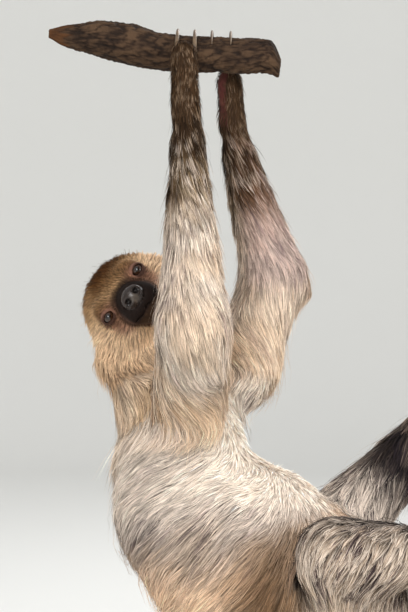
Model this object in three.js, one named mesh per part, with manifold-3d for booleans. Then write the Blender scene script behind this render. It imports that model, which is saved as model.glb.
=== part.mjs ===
// A two-toed sloth, life size, hanging by both arms from a cut length of branch, on a plain display stand.
// Millimetres, +Z up. The face and belly look towards -Y, the head is towards -X and the feet towards +X.
// The flesh solids reach out to the tips of the coat. Each is one closed piece, with a small gap to the next.
import * as THREE from "three";
import { mergeVertices } from "three/addons/utils/BufferGeometryUtils.js";
import Module from "manifold-3d";

const wasm = await Module();
wasm.setup();

// ---------------------------------------------------------------- driving dimensions

const at = (x, y, z) => new THREE.Vector3(x, y, z);
const X = at(1, 0, 0);
const Y = at(0, 1, 0);
const Z = at(0, 0, 1);

const GAP = 1; // clearance between neighbouring pieces
const BODY_GAP = 2.5; // clearance round the head and trunk, whose facets are larger
const CELL = { head: 12.5, trunk: 25, limb: 19.5, hand: 11.5 }; // facet size of each kind of piece
const SLACK = 0.45; // flat facets this close to one plane are merged

// The branch that the hands hold: a gentle bow, thickest left of the hands, with a broken, tapering left end.
const BRANCH = {
  line: [
    at(-147, 0, 708.5),
    at(-137, 0, 707),
    at(-120, 0, 704.5),
    at(-99, 0, 703.5),
    at(-72, 0, 697.5),
    at(-37, 0, 690),
    at(10, 0, 688),
    at(72, 0, 686.5),
  ],
  radii: [3, 9.5, 13.5, 18.2, 20, 18.4, 17.5, 17],
  sides: 10,
  steps: 14,
};

// The thinner branch that the feet hold.
const FOOT_BRANCH = {
  line: [
    at(294, -122, 215),
    at(302, -78, 229),
    at(327, 8, 256),
    at(350, 92, 280),
    at(362, 140, 296),
  ],
  radii: [9, 10.5, 11.5, 10.5, 9.5],
  sides: 10,
  steps: 9,
};

// Joints of the body, in the hanging pose.
const TRUNK = {
  throat: at(-66, 14, 408),
  neck: at(-40, 2, 362),
  chest: at(-18, 0, 312),
  flank: at(-13, 0, 256),
  belly: at(37, 0, 215),
  rump: at(124, 4, 170),
};
const TRUNK_RADIUS = { throat: 42, neck: 47, chest: 63, flank: 74, belly: 96, rump: 83 };
const TRUNK_FLATNESS = 1.12; // how much deeper the trunk is front to back than side to side

// right is the side nearer to -Y. palm is the way the palm faces along Y, towards the branch.
const ARM = {
  right: {
    shoulder: at(-16, -44, 357),
    elbow: at(-9, -116, 432),
    point: at(8, -112, 391),
    wrist: at(-16, -45, 623),
    knuckle: at(-19, -33, 687),
    digits: [-26, -9],
    palm: 1,
  },
  left: {
    shoulder: at(33, 48, 377),
    elbow: at(70, 104, 478),
    point: at(98, 108, 463),
    wrist: at(27, 40, 620),
    knuckle: at(25, 34, 668),
    digits: [7, 25],
    palm: -1,
  },
};
const ARM_RADIUS = { shoulder: 38, elbow: 34, point: 15, wrist: 17.5, knuckle: 13.5 };

const LEG = {
  right: {
    hip: at(148, -32, 168),
    knee: at(113, -124, 231),
    ankle: at(220, -92, 226),
    foot: at(284, -80, 226),
    perch: at(305, -75, 230),
    hipRadius: 58,
    kneeRadius: 35,
  },
  left: {
    hip: at(130, 46, 234),
    knee: at(228, 86, 326),
    ankle: at(285, 99, 250),
    foot: at(330, 94, 268),
    perch: at(350, 92, 280),
    hipRadius: 42,
    kneeRadius: 28,
  },
};
const LEG_RADIUS = { calf: 30, ankle: 22, foot: 14 };

const CLAW = { radius: 3.6, tip: 0.8, steps: 6, sides: 6, narrow: 0.75 };
// Each claw starts below the palm's side of its branch and hooks over it. Angles are in degrees.
const HOOK = { clearance: 1.2, from: -38, sweep: 200 };
const TOE_SPREAD = 13;

// The head, in its own frame: -Y the way the nose points, +Z the crown, +X the animal's left.
const HEAD = {
  centre: at(-71.6, 2, 455.4),
  roll: THREE.MathUtils.degToRad(-59), // the crown leans over to -X
  yaw: THREE.MathUtils.degToRad(5),
  cranium: { centre: at(0, 12, -2), radii: at(49, 46, 44) },
  cheek: { centre: at(25, 4, -12), radii: at(26, 32, 34) },
  ruff: { from: at(-14, 8, -8), to: at(-31, 10, -16), radii: [38, 34] },
  muzzle: { from: at(0, -10, -8), to: at(0, -42, -12), radii: [31, 20] },
  brow: { centre: at(0, -12, 14), radii: at(34, 26, 22) },
  chin: { from: at(0, -10, -20), to: at(0, -38, -25), radii: [24, 12] },
  eye: { centre: at(25.7, -28, 6.2), radii: at(6.6, 6.6, 6.6), hollow: at(29.5, -41, 6.5), hollowRadius: 11 },
  nose: { centre: at(0, -59, -4), radii: at(12.5, 7.5, 10) },
  ear: { centre: at(46, 20, 8), radii: at(5, 10, 11) },
};

const STAND = {
  width: 460,
  depth: 290,
  thickness: 20,
  corner: 30,
  bevel: 2.5,
  centreX: 140,
  centreY: 0,
  rodRadius: 7,
  rods: [at(58, 2, 165), at(327, 8, 252)], // the rods' tops, inside the body and the foot branch
  socket: 12, // how deep each rod stands in the base
};

const FUR = { pale: 0xd9c6a8, warm: 0xc9a877, grey: 0x8d7c6d, dark: 0x5d5048 };

// ---------------------------------------------------------------- shapes as distance fields

// A field is { box, of(p) }: of is negative inside, and box holds the whole shape.
function field(box, of) {
  return { box, of };
}

function ball(centre, radius) {
  const box = new THREE.Box3().setFromCenterAndSize(centre, at(2, 2, 2).multiplyScalar(radius));
  return field(box, (p) => p.distanceTo(centre) - radius);
}

// A limb that tapers from radius ra at a to rb at b, with round ends.
function limb(a, b, ra, rb) {
  const axis = b.clone().sub(a);
  const foot = at(0, 0, 0);
  const box = ball(a, ra).box.union(ball(b, rb).box);
  return field(box, (p) => {
    const t = THREE.MathUtils.clamp(foot.copy(p).sub(a).dot(axis) / axis.lengthSq(), 0, 1);
    return p.distanceTo(foot.copy(a).addScaledVector(axis, t)) - THREE.MathUtils.lerp(ra, rb, t);
  });
}

// An ellipsoid, in a frame given by a matrix.
function ellipsoid({ centre, radii }, frame = new THREE.Matrix4()) {
  const middle = centre.clone().applyMatrix4(frame);
  const back = frame.clone().invert();
  const reach = Math.max(...radii.toArray());
  const box = ball(middle, reach).box;
  return field(box, (p) => {
    const q = p.clone().applyMatrix4(back).sub(centre).divide(radii);
    const k = q.length();
    return (k * (k - 1)) / Math.max(q.divide(radii).length(), 1e-6);
  });
}

// Fields joined with a soft fillet of about that width.
function blend(width, ...fields) {
  const box = fields.reduce((b, f) => b.union(f.box), new THREE.Box3());
  return field(box, (p) => {
    let d = Infinity;
    for (const f of fields) {
      const e = f.of(p);
      const h = Math.max(width - Math.abs(d - e), 0) / width;
      d = Number.isFinite(d) ? Math.min(d, e) - (h * h * width) / 4 : e;
    }
    return d;
  });
}

// The first field less a soft hollow of the second.
function hollow(width, body, tool) {
  return field(body.box, (p) => {
    const d = body.of(p);
    const e = -tool.of(p);
    const h = Math.max(width - Math.abs(d - e), 0) / width;
    return Math.max(d, e) + (h * h * width) / 4;
  });
}

const grown = (f, by) => field(f.box, (p) => f.of(p) - by);

// ---------------------------------------------------------------- closed solids

function slope(f, p) {
  const e = 0.5;
  const d = (axis) =>
    f.of(p.clone().addScaledVector(axis, e)) - f.of(p.clone().addScaledVector(axis, -e));
  return at(d(X), d(Y), d(Z)).divideScalar(2 * e);
}

// A field's surface as a solid, on the first slightly finer grid where no two sheets of it touch.
function polygonise(f, cell) {
  const made = net(f, cell);
  return unpinched(made) ? made : polygonise(f, 0.97 * cell);
}

// Surface nets: one vertex in each grid cell that the surface crosses, one quad over each crossed edge.
function net(f, cell) {
  const low = f.box.min.clone().subScalar(1.6 * cell);
  const n = f.box.getSize(at(0, 0, 0)).divideScalar(cell).ceil().addScalar(4).toArray();
  const index = (i, j, k) => (k * n[1] + j) * n[0] + i;
  const place = (i, j, k) => at(i, j, k).multiplyScalar(cell).add(low);
  const value = new Float32Array(n[0] * n[1] * n[2]);
  for (let k = 0; k < n[2]; k++)
    for (let j = 0; j < n[1]; j++)
      for (let i = 0; i < n[0]; i++) value[index(i, j, k)] = f.of(place(i, j, k));

  const corners = [0, 1].flatMap((c) => [0, 1].flatMap((b) => [0, 1].map((a) => [a, b, c])));
  const edges = corners.flatMap((a) =>
    corners.filter((b) => b.reduce((s, v, m) => s + Math.abs(v - a[m]) * (v >= a[m] ? 1 : 9), 0) === 1)
      .map((b) => [a, b]),
  );
  const vertexOf = new Map();
  const points = [];
  for (let k = 0; k < n[2] - 1; k++)
    for (let j = 0; j < n[1] - 1; j++)
      for (let i = 0; i < n[0] - 1; i++) {
        const sum = at(0, 0, 0);
        let crossings = 0;
        for (const [a, b] of edges) {
          const va = value[index(i + a[0], j + a[1], k + a[2])];
          const vb = value[index(i + b[0], j + b[1], k + b[2])];
          if (va < 0 === vb < 0) continue;
          const from = place(i + a[0], j + a[1], k + a[2]);
          sum.add(from.lerp(place(i + b[0], j + b[1], k + b[2]), va / (va - vb)));
          crossings++;
        }
        if (!crossings) continue;
        const p = sum.divideScalar(crossings);
        for (let step = 0; step < 3; step++) {
          const g = slope(f, p);
          p.addScaledVector(g, (-0.8 * f.of(p)) / Math.max(g.lengthSq(), 0.2));
        }
        vertexOf.set(index(i, j, k), points.length);
        points.push(p);
      }

  const triangles = [];
  const steps = [[1, 0, 0], [0, 1, 0], [0, 0, 1]];
  for (let k = 1; k < n[2] - 1; k++)
    for (let j = 1; j < n[1] - 1; j++)
      for (let i = 1; i < n[0] - 1; i++)
        steps.forEach((s, m) => {
          const inside = value[index(i, j, k)] < 0;
          if (inside === value[index(i + s[0], j + s[1], k + s[2])] < 0) return;
          const u = steps[(m + 1) % 3];
          const v = steps[(m + 2) % 3];
          const cellAt = (a, b) =>
            vertexOf.get(index(i - a * u[0] - b * v[0], j - a * u[1] - b * v[1], k - a * u[2] - b * v[2]));
          const quad = [cellAt(0, 0), cellAt(1, 0), cellAt(1, 1), cellAt(0, 1)];
          if (!inside) quad.reverse();
          const [p, q, r, t] = quad.map((c) => points[c]);
          const [a, b, c, d] = quad;
          if (p.distanceTo(r) < q.distanceTo(t)) triangles.push(a, b, c, a, c, d);
          else triangles.push(a, b, d, b, c, d);
        });
  return solid(points.flatMap((p) => p.toArray()), triangles).simplify(SLACK);
}

function solid(positions, triangles) {
  return new wasm.Manifold(
    new wasm.Mesh({
      numProp: 3,
      vertProperties: new Float32Array(positions),
      triVerts: new Uint32Array(triangles),
    }),
  );
}

// A closed three.js geometry as a solid.
function solidOf(geometry) {
  const bare = geometry.clone();
  bare.deleteAttribute("normal");
  bare.deleteAttribute("uv");
  const merged = mergeVertices(bare, 1e-3);
  return solid(merged.attributes.position.array, merged.index.array);
}

// True where every edge joins just two facets, so the solid isn't pinched to an edge anywhere.
function unpinched(s) {
  const { vertProperties, triVerts, numProp } = s.getMesh();
  const place = (v) => [0, 1, 2].map((k) => Math.round(vertProperties[v * numProp + k] * 1000)).join(" ");
  const facets = new Map();
  for (let i = 0; i < triVerts.length; i++) {
    const next = i % 3 === 2 ? i - 2 : i + 1;
    const edge = [place(triVerts[i]), place(triVerts[next])].sort().join();
    facets.set(edge, (facets.get(edge) ?? 0) + 1);
  }
  return [...facets.values()].every((n) => n === 2);
}

// The largest piece of a solid, with its slivers merged as far as that leaves it sound.
function largest(s, slack = SLACK) {
  const biggest = (m) => m.decompose().reduce((a, b) => (b.volume() > a.volume() ? b : a));
  const whole = biggest(s);
  for (const share of [1, 0.9, 0.8, 0.65, 0.5, 0.3, 0.1]) {
    const made = biggest(whole.simplify(slack * share));
    if (unpinched(made)) return made;
  }
  return whole;
}

// Cuts a solid at a plane through p, a gap wide: [the side that the normal points to, the other side].
function part(s, p, normal) {
  const n = normal.clone().normalize();
  const d = n.dot(p);
  const front = s.trimByPlane(n.toArray(), d + GAP / 2);
  const behind = s.trimByPlane(n.clone().negate().toArray(), -d + GAP / 2);
  return [largest(front), largest(behind)];
}

// Evenly spaced places along a curve, from 0 to 1.
const spaced = (steps) => Array.from({ length: steps + 1 }, (_, i) => i / steps);

// A round bar along a curve, in rings at the given places, about a fixed side vector. radius(t) is half
// its thickness, and squeeze its width as a share of that.
function bar(curve, side, radius, { places, sides, squeeze = 1 }) {
  const points = [];
  const triangles = [];
  const steps = places.length - 1;
  for (const t of places) {
    const along = curve.getTangent(t);
    const across = side.clone().addScaledVector(along, -side.dot(along)).normalize();
    const up = along.clone().cross(across);
    for (let j = 0; j < sides; j++) {
      const a = (2 * Math.PI * j) / sides;
      const r = radius(t, a);
      points.push(
        curve.getPoint(t)
          .addScaledVector(across, r * squeeze * Math.cos(a))
          .addScaledVector(up, r * Math.sin(a)),
      );
    }
  }
  const ring = (i, j) => i * sides + (j % sides);
  for (let i = 0; i < steps; i++)
    for (let j = 0; j < sides; j++) {
      triangles.push(ring(i, j), ring(i, j + 1), ring(i + 1, j));
      triangles.push(ring(i + 1, j), ring(i, j + 1), ring(i + 1, j + 1));
    }
  [0, steps].forEach((i) => {
    const hub = points.length;
    points.push(curve.getPoint(places[i]));
    for (let j = 0; j < sides; j++)
      if (i) triangles.push(hub, ring(i, j), ring(i, j + 1));
      else triangles.push(hub, ring(i, j + 1), ring(i, j));
  });
  return solid(points.flatMap((p) => p.toArray()), triangles);
}

// An arc that starts at a point along one direction and bends towards another.
class Arc extends THREE.Curve {
  constructor(start, along, towards, radius, sweep) {
    super();
    Object.assign(this, { start, along, towards, radius, sweep });
  }
  getPoint(t) {
    const a = t * this.sweep;
    return this.start.clone()
      .addScaledVector(this.along, this.radius * Math.sin(a))
      .addScaledVector(this.towards, this.radius * (1 - Math.cos(a)));
  }
  getTangent(t) {
    const a = t * this.sweep;
    return this.along.clone().multiplyScalar(Math.cos(a)).addScaledVector(this.towards, Math.sin(a));
  }
}

// ---------------------------------------------------------------- the group

const sloth = new THREE.Group();

function add(name, s, colour, roughness = 0.9) {
  const mesh = s.getMesh();
  const geometry = new THREE.BufferGeometry();
  geometry.setAttribute("position", new THREE.BufferAttribute(mesh.vertProperties, 3));
  geometry.setIndex(new THREE.BufferAttribute(mesh.triVerts, 1));
  geometry.computeVertexNormals();
  const material = new THREE.MeshStandardMaterial({ color: colour, roughness, metalness: 0 });
  const piece = new THREE.Mesh(geometry, material);
  piece.name = name;
  sloth.add(piece);
  return s;
}

// ---------------------------------------------------------------- branches

function perchRadius(perch, t) {
  const s = t * (perch.radii.length - 1);
  const i = Math.min(Math.floor(s), perch.radii.length - 2);
  return THREE.MathUtils.lerp(perch.radii[i], perch.radii[i + 1], s - i);
}

function perchSolid(perch, extra = 0) {
  const line = new THREE.CatmullRomCurve3(perch.line);
  const rings = { places: spaced(perch.steps), sides: perch.sides };
  return bar(line, Z, (t) => perchRadius(perch, t) + extra, rings);
}

// A branch's centre, direction and radius where it passes closest to a point.
function perchAt(perch, near) {
  const line = new THREE.CatmullRomCurve3(perch.line);
  const distance = (t) => line.getPoint(t).distanceTo(near);
  let best = 0;
  for (let t = 0; t <= 1; t += 0.001) if (distance(t) < distance(best)) best = t;
  return { centre: line.getPoint(best), along: line.getTangent(best), radius: perchRadius(perch, best) };
}

// ---------------------------------------------------------------- head

const headFrame = new THREE.Matrix4()
  .makeTranslation(HEAD.centre)
  .multiply(new THREE.Matrix4().makeRotationY(HEAD.roll))
  .multiply(new THREE.Matrix4().makeRotationZ(HEAD.yaw));
const onHead = (p) => p.clone().applyMatrix4(headFrame);
const flip = (p, side) => at(p.x * side, p.y, p.z);
const SIDES = { left: 1, right: -1 };

function headField() {
  const { cranium, cheek, ruff, muzzle, brow, chin, eye } = HEAD;
  const stretch = ({ from, to, radii }) => limb(onHead(from), onHead(to), ...radii);
  const cheeks = Object.values(SIDES).map((side) =>
    ellipsoid({ centre: flip(cheek.centre, side), radii: cheek.radii }, headFrame),
  );
  let head = blend(
    14,
    ellipsoid(cranium, headFrame),
    ...cheeks,
    ellipsoid(brow, headFrame),
    stretch(ruff),
    stretch(muzzle),
    stretch(chin),
  );
  for (const side of Object.values(SIDES))
    head = hollow(6, head, ball(onHead(flip(eye.hollow, side)), eye.hollowRadius));
  return head;
}

// An oval piece of the face, with its size grown by a margin.
function oval({ centre, radii }, margin = 0, detail = 1) {
  const scaled = new THREE.IcosahedronGeometry(1, detail)
    .scale(...radii.clone().addScalar(margin).toArray())
    .translate(...centre.toArray())
    .applyMatrix4(headFrame);
  return solidOf(scaled);
}

function makeHead() {
  let head = polygonise(headField(), CELL.head);
  const fit = (name, piece, colour, roughness, detail) => {
    head = head.subtract(oval(piece, GAP));
    add(name, oval(piece, 0, detail), colour, roughness);
  };
  fit("nose", HEAD.nose, 0x3a2c28, 0.35, 1);
  for (const [name, side] of Object.entries(SIDES)) {
    const { eye, ear } = HEAD;
    fit(`eye_${name}`, { centre: flip(eye.centre, side), radii: eye.radii }, 0x1d1411, 0.15, 1);
    fit(`ear_${name}`, { centre: flip(ear.centre, side), radii: ear.radii }, FUR.warm, 0.9, 1);
  }
  add("head", largest(head), FUR.warm);
}

// ---------------------------------------------------------------- trunk

// A field narrowed along Y.
function flattened(f, flatness) {
  return field(f.box, (p) => f.of(at(p.x, p.y * flatness, p.z)));
}

function trunkField() {
  const names = Object.keys(TRUNK);
  const lengths = names.slice(1).map((name, i) =>
    limb(TRUNK[names[i]], TRUNK[name], TRUNK_RADIUS[names[i]], TRUNK_RADIUS[name]),
  );
  const shoulders = Object.values(ARM).map((arm) => ball(arm.shoulder, ARM_RADIUS.shoulder));
  return blend(18, flattened(blend(12, ...lengths), TRUNK_FLATNESS), ...shoulders);
}

function makeTrunk() {
  const { throat, neck, chest, flank, belly, rump } = TRUNK;
  const whole = polygonise(trunkField(), CELL.trunk)
    .subtract(polygonise(grown(headField(), BODY_GAP), CELL.head))
    .subtract(rodSolids(GAP));
  const [below, scruff] = part(whole, neck.clone().lerp(chest, 0.15), chest.clone().sub(throat));
  const [hind, thorax] = part(below, flank.clone().lerp(chest, 0.1), flank.clone().sub(chest));
  const [seat, abdomen] = part(hind, belly.clone().lerp(rump, 0.45), rump.clone().sub(belly));
  add("neck", scruff, FUR.warm);
  add("chest", thorax, FUR.pale);
  add("belly", abdomen, FUR.pale);
  add("rump", seat, FUR.grey);
}

// ---------------------------------------------------------------- arms

// A claw, along an arc in the plane square to side. A margin makes it the claw's socket, which starts
// before the root.
function claw({ arc, side }, margin = 0) {
  const thick = (t) => THREE.MathUtils.lerp(CLAW.radius, CLAW.tip, Math.max(t, 0) ** 1.4) + margin;
  const places = spaced(CLAW.steps);
  if (margin) places.unshift((-1.5 * margin) / (arc.radius * arc.sweep));
  return bar(arc, side, thick, { places, sides: CLAW.sides, squeeze: CLAW.narrow });
}

// The claw that hooks over a branch near a point, coming from the side that palm points away from.
function hook(perch, near, palm) {
  const { centre, along, radius } = perchAt(perch, near);
  const back = palm.clone().addScaledVector(along, -palm.dot(along)).normalize().negate();
  const up = along.clone().cross(back).normalize();
  if (up.z < 0) up.negate();
  const start = THREE.MathUtils.degToRad(HOOK.from);
  const out = back.clone().multiplyScalar(Math.cos(start)).addScaledVector(up, Math.sin(start));
  const ahead = back.clone().multiplyScalar(-Math.sin(start)).addScaledVector(up, Math.cos(start));
  const reach = radius + CLAW.radius + HOOK.clearance;
  const root = centre.clone().addScaledVector(out, reach);
  const arc = new Arc(root, ahead, out.negate(), reach, THREE.MathUtils.degToRad(HOOK.sweep));
  return { arc, side: along };
}

function makeArm(name, arm, room) {
  const r = ARM_RADIUS;
  const whole = polygonise(
    blend(
      14,
      limb(arm.shoulder, arm.elbow, r.shoulder - 2, r.elbow),
      limb(arm.elbow, arm.wrist, r.elbow, r.wrist),
      limb(arm.elbow, arm.point, r.elbow - 6, r.point),
    ),
    CELL.limb,
  ).subtract(room);
  const bend = arm.elbow.clone().lerp(arm.wrist, 0.06);
  const [lower, upper] = part(whole, bend, arm.wrist.clone().sub(arm.shoulder));
  const along = arm.knuckle.clone().sub(arm.wrist);
  const [, forearm] = part(lower, arm.wrist, along);
  add(`upper_arm_${name}`, upper, FUR.pale);
  add(`forearm_${name}`, forearm, FUR.pale);

  const claws = arm.digits.map((x) => hook(BRANCH, at(x, 0, BRANCH.line.at(-2).z), at(0, arm.palm, 0)));
  const heart = arm.wrist.clone().lerp(arm.knuckle, 0.5);
  const hand = blend(
    5,
    limb(arm.wrist, arm.knuckle, r.wrist, r.knuckle),
    limb(arm.knuckle, arm.knuckle.clone().add(at(0, 9 * arm.palm, 9)), r.knuckle - 2, r.knuckle - 5),
    ...claws.map(({ arc }) => limb(heart, arc.getPoint(0.06), 10, 6.5)),
  );
  const [knuckles] = part(polygonise(hand, CELL.hand), arm.wrist, along);
  const fist = knuckles.subtract(perchSolid(BRANCH, GAP));
  addClawed(`hand_${name}`, fist, claws, FUR.grey);
}

// Adds a hand or foot and its claws, each claw in its own socket.
function addClawed(name, paw, claws, colour) {
  const room = claws.map((c) => claw(c, GAP)).reduce((a, b) => a.add(b));
  add(name, largest(paw.subtract(room), SLACK / 3), colour);
  claws.forEach((c, i) => add(`${name}_claw_${i + 1}`, claw(c), 0xb9a68a, 0.45));
}

// ---------------------------------------------------------------- legs

function makeLeg(name, leg, room) {
  const r = LEG_RADIUS;
  const calf = leg.knee.clone().lerp(leg.ankle, 0.45);
  const whole = polygonise(
    blend(
      14,
      limb(leg.hip, leg.knee, leg.hipRadius, leg.kneeRadius),
      limb(leg.knee, calf, leg.kneeRadius, Math.min(leg.kneeRadius, r.calf)),
      limb(calf, leg.ankle, Math.min(leg.kneeRadius, r.calf), r.ankle),
    ),
    CELL.limb,
  ).subtract(room);
  const shinWay = leg.ankle.clone().sub(leg.knee);
  const crease = leg.knee.clone().sub(leg.hip).normalize().add(shinWay.clone().normalize());
  const [lower, thigh] = part(whole, leg.knee, crease);
  const [, shin] = part(lower, leg.ankle, shinWay);
  add(`thigh_${name}`, thigh, FUR.grey);
  add(`shin_${name}`, shin, FUR.dark);

  const way = leg.perch.clone().sub(leg.foot);
  const across = perchAt(FOOT_BRANCH, leg.perch).along;
  const claws = [-1, 0, 1].map((k) =>
    hook(FOOT_BRANCH, leg.perch.clone().addScaledVector(across, k * TOE_SPREAD), way),
  );
  const sole = leg.ankle.clone().lerp(leg.foot, 0.55);
  const foot = blend(
    6,
    limb(leg.ankle, leg.foot, r.ankle, r.foot),
    ...claws.map(({ arc }) => limb(sole, arc.getPoint(0.05), 12, 6.5)),
  );
  const [toes] = part(polygonise(foot, CELL.hand), leg.ankle, shinWay);
  const pad = toes.subtract(perchSolid(FOOT_BRANCH, GAP));
  addClawed(`foot_${name}`, pad, claws, FUR.dark);
}

// ---------------------------------------------------------------- stand

function rod(top, extra = 0) {
  const foot = STAND.thickness - STAND.socket - extra;
  const length = top.z + extra - foot;
  const geometry = new THREE.CylinderGeometry(STAND.rodRadius + extra, STAND.rodRadius + extra, length, 14)
    .rotateX(Math.PI / 2)
    .translate(top.x, top.y, foot + length / 2);
  return solidOf(geometry);
}

function rodSolids(extra) {
  return STAND.rods.map((top) => rod(top, extra)).reduce((a, b) => a.add(b));
}

function makeStand() {
  const { width, depth, corner, thickness, bevel, centreX, centreY } = STAND;
  const half = [width / 2 - bevel, depth / 2 - bevel];
  const inset = corner - bevel;
  const outline = new THREE.Shape();
  [[1, 1], [-1, 1], [-1, -1], [1, -1]].forEach(([sx, sy], i) => {
    const start = (i * Math.PI) / 2;
    outline.absarc(sx * (half[0] - inset), sy * (half[1] - inset), inset, start, start + Math.PI / 2);
  });
  const plate = new THREE.ExtrudeGeometry(outline, {
    depth: thickness - 2 * bevel,
    bevelThickness: bevel,
    bevelSize: bevel,
    bevelSegments: 1,
    curveSegments: 3,
  }).translate(centreX, centreY, bevel);
  add("stand_base", solidOf(plate).subtract(rodSolids(GAP)), 0x4a3a2c, 0.5);
  STAND.rods.forEach((top, i) => add(`stand_rod_${i + 1}`, rod(top), 0x9a9a98, 0.3));
}

// ---------------------------------------------------------------- assembly

makeHead();
makeTrunk();
const bodyRoom = polygonise(grown(trunkField(), BODY_GAP), CELL.trunk)
  .add(polygonise(grown(headField(), BODY_GAP), CELL.head))
  .add(rodSolids(GAP));
for (const [name, arm] of Object.entries(ARM)) makeArm(name, arm, bodyRoom);
for (const [name, leg] of Object.entries(LEG)) makeLeg(name, leg, bodyRoom);
add("branch", perchSolid(BRANCH), 0x4b3527, 0.95);
add("foot_branch", perchSolid(FOOT_BRANCH).subtract(rodSolids(GAP)), 0x4b3527, 0.95);
makeStand();

// The origin is under the middle of the stand's base, on the floor.
sloth.position.set(-STAND.centreX, -STAND.centreY, 0);

export default sloth;
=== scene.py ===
"""A two-toed sloth that hangs by both arms from a cut branch, on a display stand, in a plain studio.

Metres, +Z up. The CAD solids reach out to the tips of the coat. One skin is grown inside them, and the coat
is laid over it as tapered tufts that follow the lie of the hair. The head has its own frame, in millimetres.
"""

import math

import bpy
import numpy as np
import openvdb
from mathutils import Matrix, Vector


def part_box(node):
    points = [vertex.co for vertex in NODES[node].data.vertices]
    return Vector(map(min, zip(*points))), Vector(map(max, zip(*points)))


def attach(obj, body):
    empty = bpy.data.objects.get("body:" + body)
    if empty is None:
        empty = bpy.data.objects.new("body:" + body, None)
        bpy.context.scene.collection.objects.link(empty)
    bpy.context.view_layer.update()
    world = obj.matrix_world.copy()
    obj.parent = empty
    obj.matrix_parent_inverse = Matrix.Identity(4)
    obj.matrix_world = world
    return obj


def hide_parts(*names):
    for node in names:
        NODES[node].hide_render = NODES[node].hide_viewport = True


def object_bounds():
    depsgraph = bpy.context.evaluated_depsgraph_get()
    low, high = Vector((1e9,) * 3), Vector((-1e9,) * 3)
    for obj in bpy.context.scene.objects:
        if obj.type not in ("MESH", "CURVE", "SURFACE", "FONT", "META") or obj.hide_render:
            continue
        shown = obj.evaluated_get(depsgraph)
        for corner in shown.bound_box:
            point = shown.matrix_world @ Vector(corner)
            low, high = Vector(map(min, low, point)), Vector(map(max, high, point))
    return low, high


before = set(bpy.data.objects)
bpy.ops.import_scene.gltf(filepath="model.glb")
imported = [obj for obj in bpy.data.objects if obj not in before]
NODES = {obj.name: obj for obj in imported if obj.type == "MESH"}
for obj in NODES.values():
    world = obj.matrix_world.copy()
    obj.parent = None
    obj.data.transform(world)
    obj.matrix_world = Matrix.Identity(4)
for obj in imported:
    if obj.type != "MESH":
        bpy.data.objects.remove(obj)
CAD_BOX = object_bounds()
MM = 0.001

# ---- driving values

VOXEL = 3 * MM  # the skin's distance field
BAND = 11.0  # how far from the coat's outside that field is known, in voxels
PART_STEP = 6 * MM  # the grid that tells the parts apart
PART_BAND = 9.0  # how far from a part its distance is known, in those steps
SEAM = 2.2 * MM  # closes the gaps between the CAD solids
NECK_BLEND = 6 * MM  # how softly the head joins the neck
BODY_CELL, FACE_CELL = 3.4 * MM, 1.15 * MM  # cells of the skin's mesh
TUFTS = 1.27  # how densely the coat is grown
SPANS = 3  # the straight lengths of a tuft
PIECE_TRIANGLES = 190_000
UV_SPREAD = 0.0013  # half the side of a tuft's patch on the unwrap
WARM_BELOW = 0.238  # the height below which the trunk turns tan
BELLY_WAY = np.array([0.69, -0.14, 0.71])  # the way the belly faces; the hair runs away from its middle line
GRAVITY = np.array([0.0, 0.0, -1.0])


def hair(run, coat, length, width, density, stand, hang, **more):
    """The hair of one part: the parts it runs from and to, the depth of the coat and the length and width of
    its tufts in mm, how densely they grow (times TUFTS, per square mm), how far they stand off the skin (0 to
    1) and how strongly they hang.
    """
    row = dict(run=run, coat=coat, length=length, width=width, density=density, stand=stand, hang=hang)
    return row | more


# lean bends the way the hair runs, way replaces it, and tail makes it longer towards the end it runs to.
PARTS = {
    "neck": hair(("head", "chest"), 8, 40, 0.85, 0.62, 0.5, 0.6, lean=(0.45, 0, 0)),
    "chest": hair(("neck", "belly"), 9, 42, 0.85, 0.56, 0.32, 0.02, way=(-0.9, 0.1, -0.42)),
    "belly": hair(("chest", "rump"), 11, 54, 0.95, 0.50, 0.34, 0.1, way=(-0.72, 0.1, -0.68)),
    "rump": hair(("belly", None), 12, 58, 1.0, 0.46, 0.34, 0.4, way=(-0.35, 0.05, -0.93)),
    "upper_arm_right": hair(
        ("forearm_right", "chest"), 8, 44, 0.8, 0.7, 0.4, 0.8, lean=(0.55, 0, 0), tail=0.9
    ),
    "forearm_right": hair(("hand_right", "upper_arm_right"), 6, 34, 0.7, 0.8, 0.35, 0.3, lean=(0.3, 0, 0)),
    "hand_right": hair((None, "forearm_right"), 3, 12, 0.6, 1.2, 0.25, 0.1),
    "upper_arm_left": hair(("forearm_left", "chest"), 8, 40, 0.8, 0.7, 0.4, 0.8, lean=(0.1, 0, 0), tail=0.7),
    "forearm_left": hair(("hand_left", "upper_arm_left"), 6, 32, 0.7, 0.8, 0.35, 0.2, lean=(0.45, 0, 0)),
    "hand_left": hair((None, "forearm_left"), 3, 12, 0.6, 1.2, 0.25, 0.1),
    "thigh_right": hair(("shin_right", "rump"), 10, 56, 0.95, 0.55, 0.42, 3.0),
    "shin_right": hair(("foot_right", "thigh_right"), 7, 38, 0.85, 0.65, 0.4, 1.0),
    "foot_right": hair((None, "shin_right"), 3, 12, 0.6, 1.1, 0.25, 0.2),
    "thigh_left": hair(("shin_left", "rump"), 9, 48, 0.9, 0.55, 0.42, 1.1),
    "shin_left": hair(("foot_left", "thigh_left"), 7, 36, 0.85, 0.65, 0.4, 0.9),
    "foot_left": hair((None, "shin_left"), 3, 12, 0.6, 1.1, 0.25, 0.2),
}
HEAD_COAT = dict(coat=8, length=17, width=0.6, density=1.35, stand=0.5, hang=0.3)
PALM_WAYS = {  # the way each bare palm or sole faces
    "hand_right": (0.7, 0.7, 0),
    "hand_left": (-0.85, -0.55, 0),
    "foot_right": (0, 0, -1),
    "foot_left": (0, 0, -1),
}
TRUNK = ("neck", "chest", "belly", "rump")
FOREARMS = ("forearm_right", "forearm_left")
COLUMNS = [*PARTS, "head"]  # of the part weights
FLESH = [*COLUMNS, "nose", "ear_left", "ear_right"]

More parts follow.
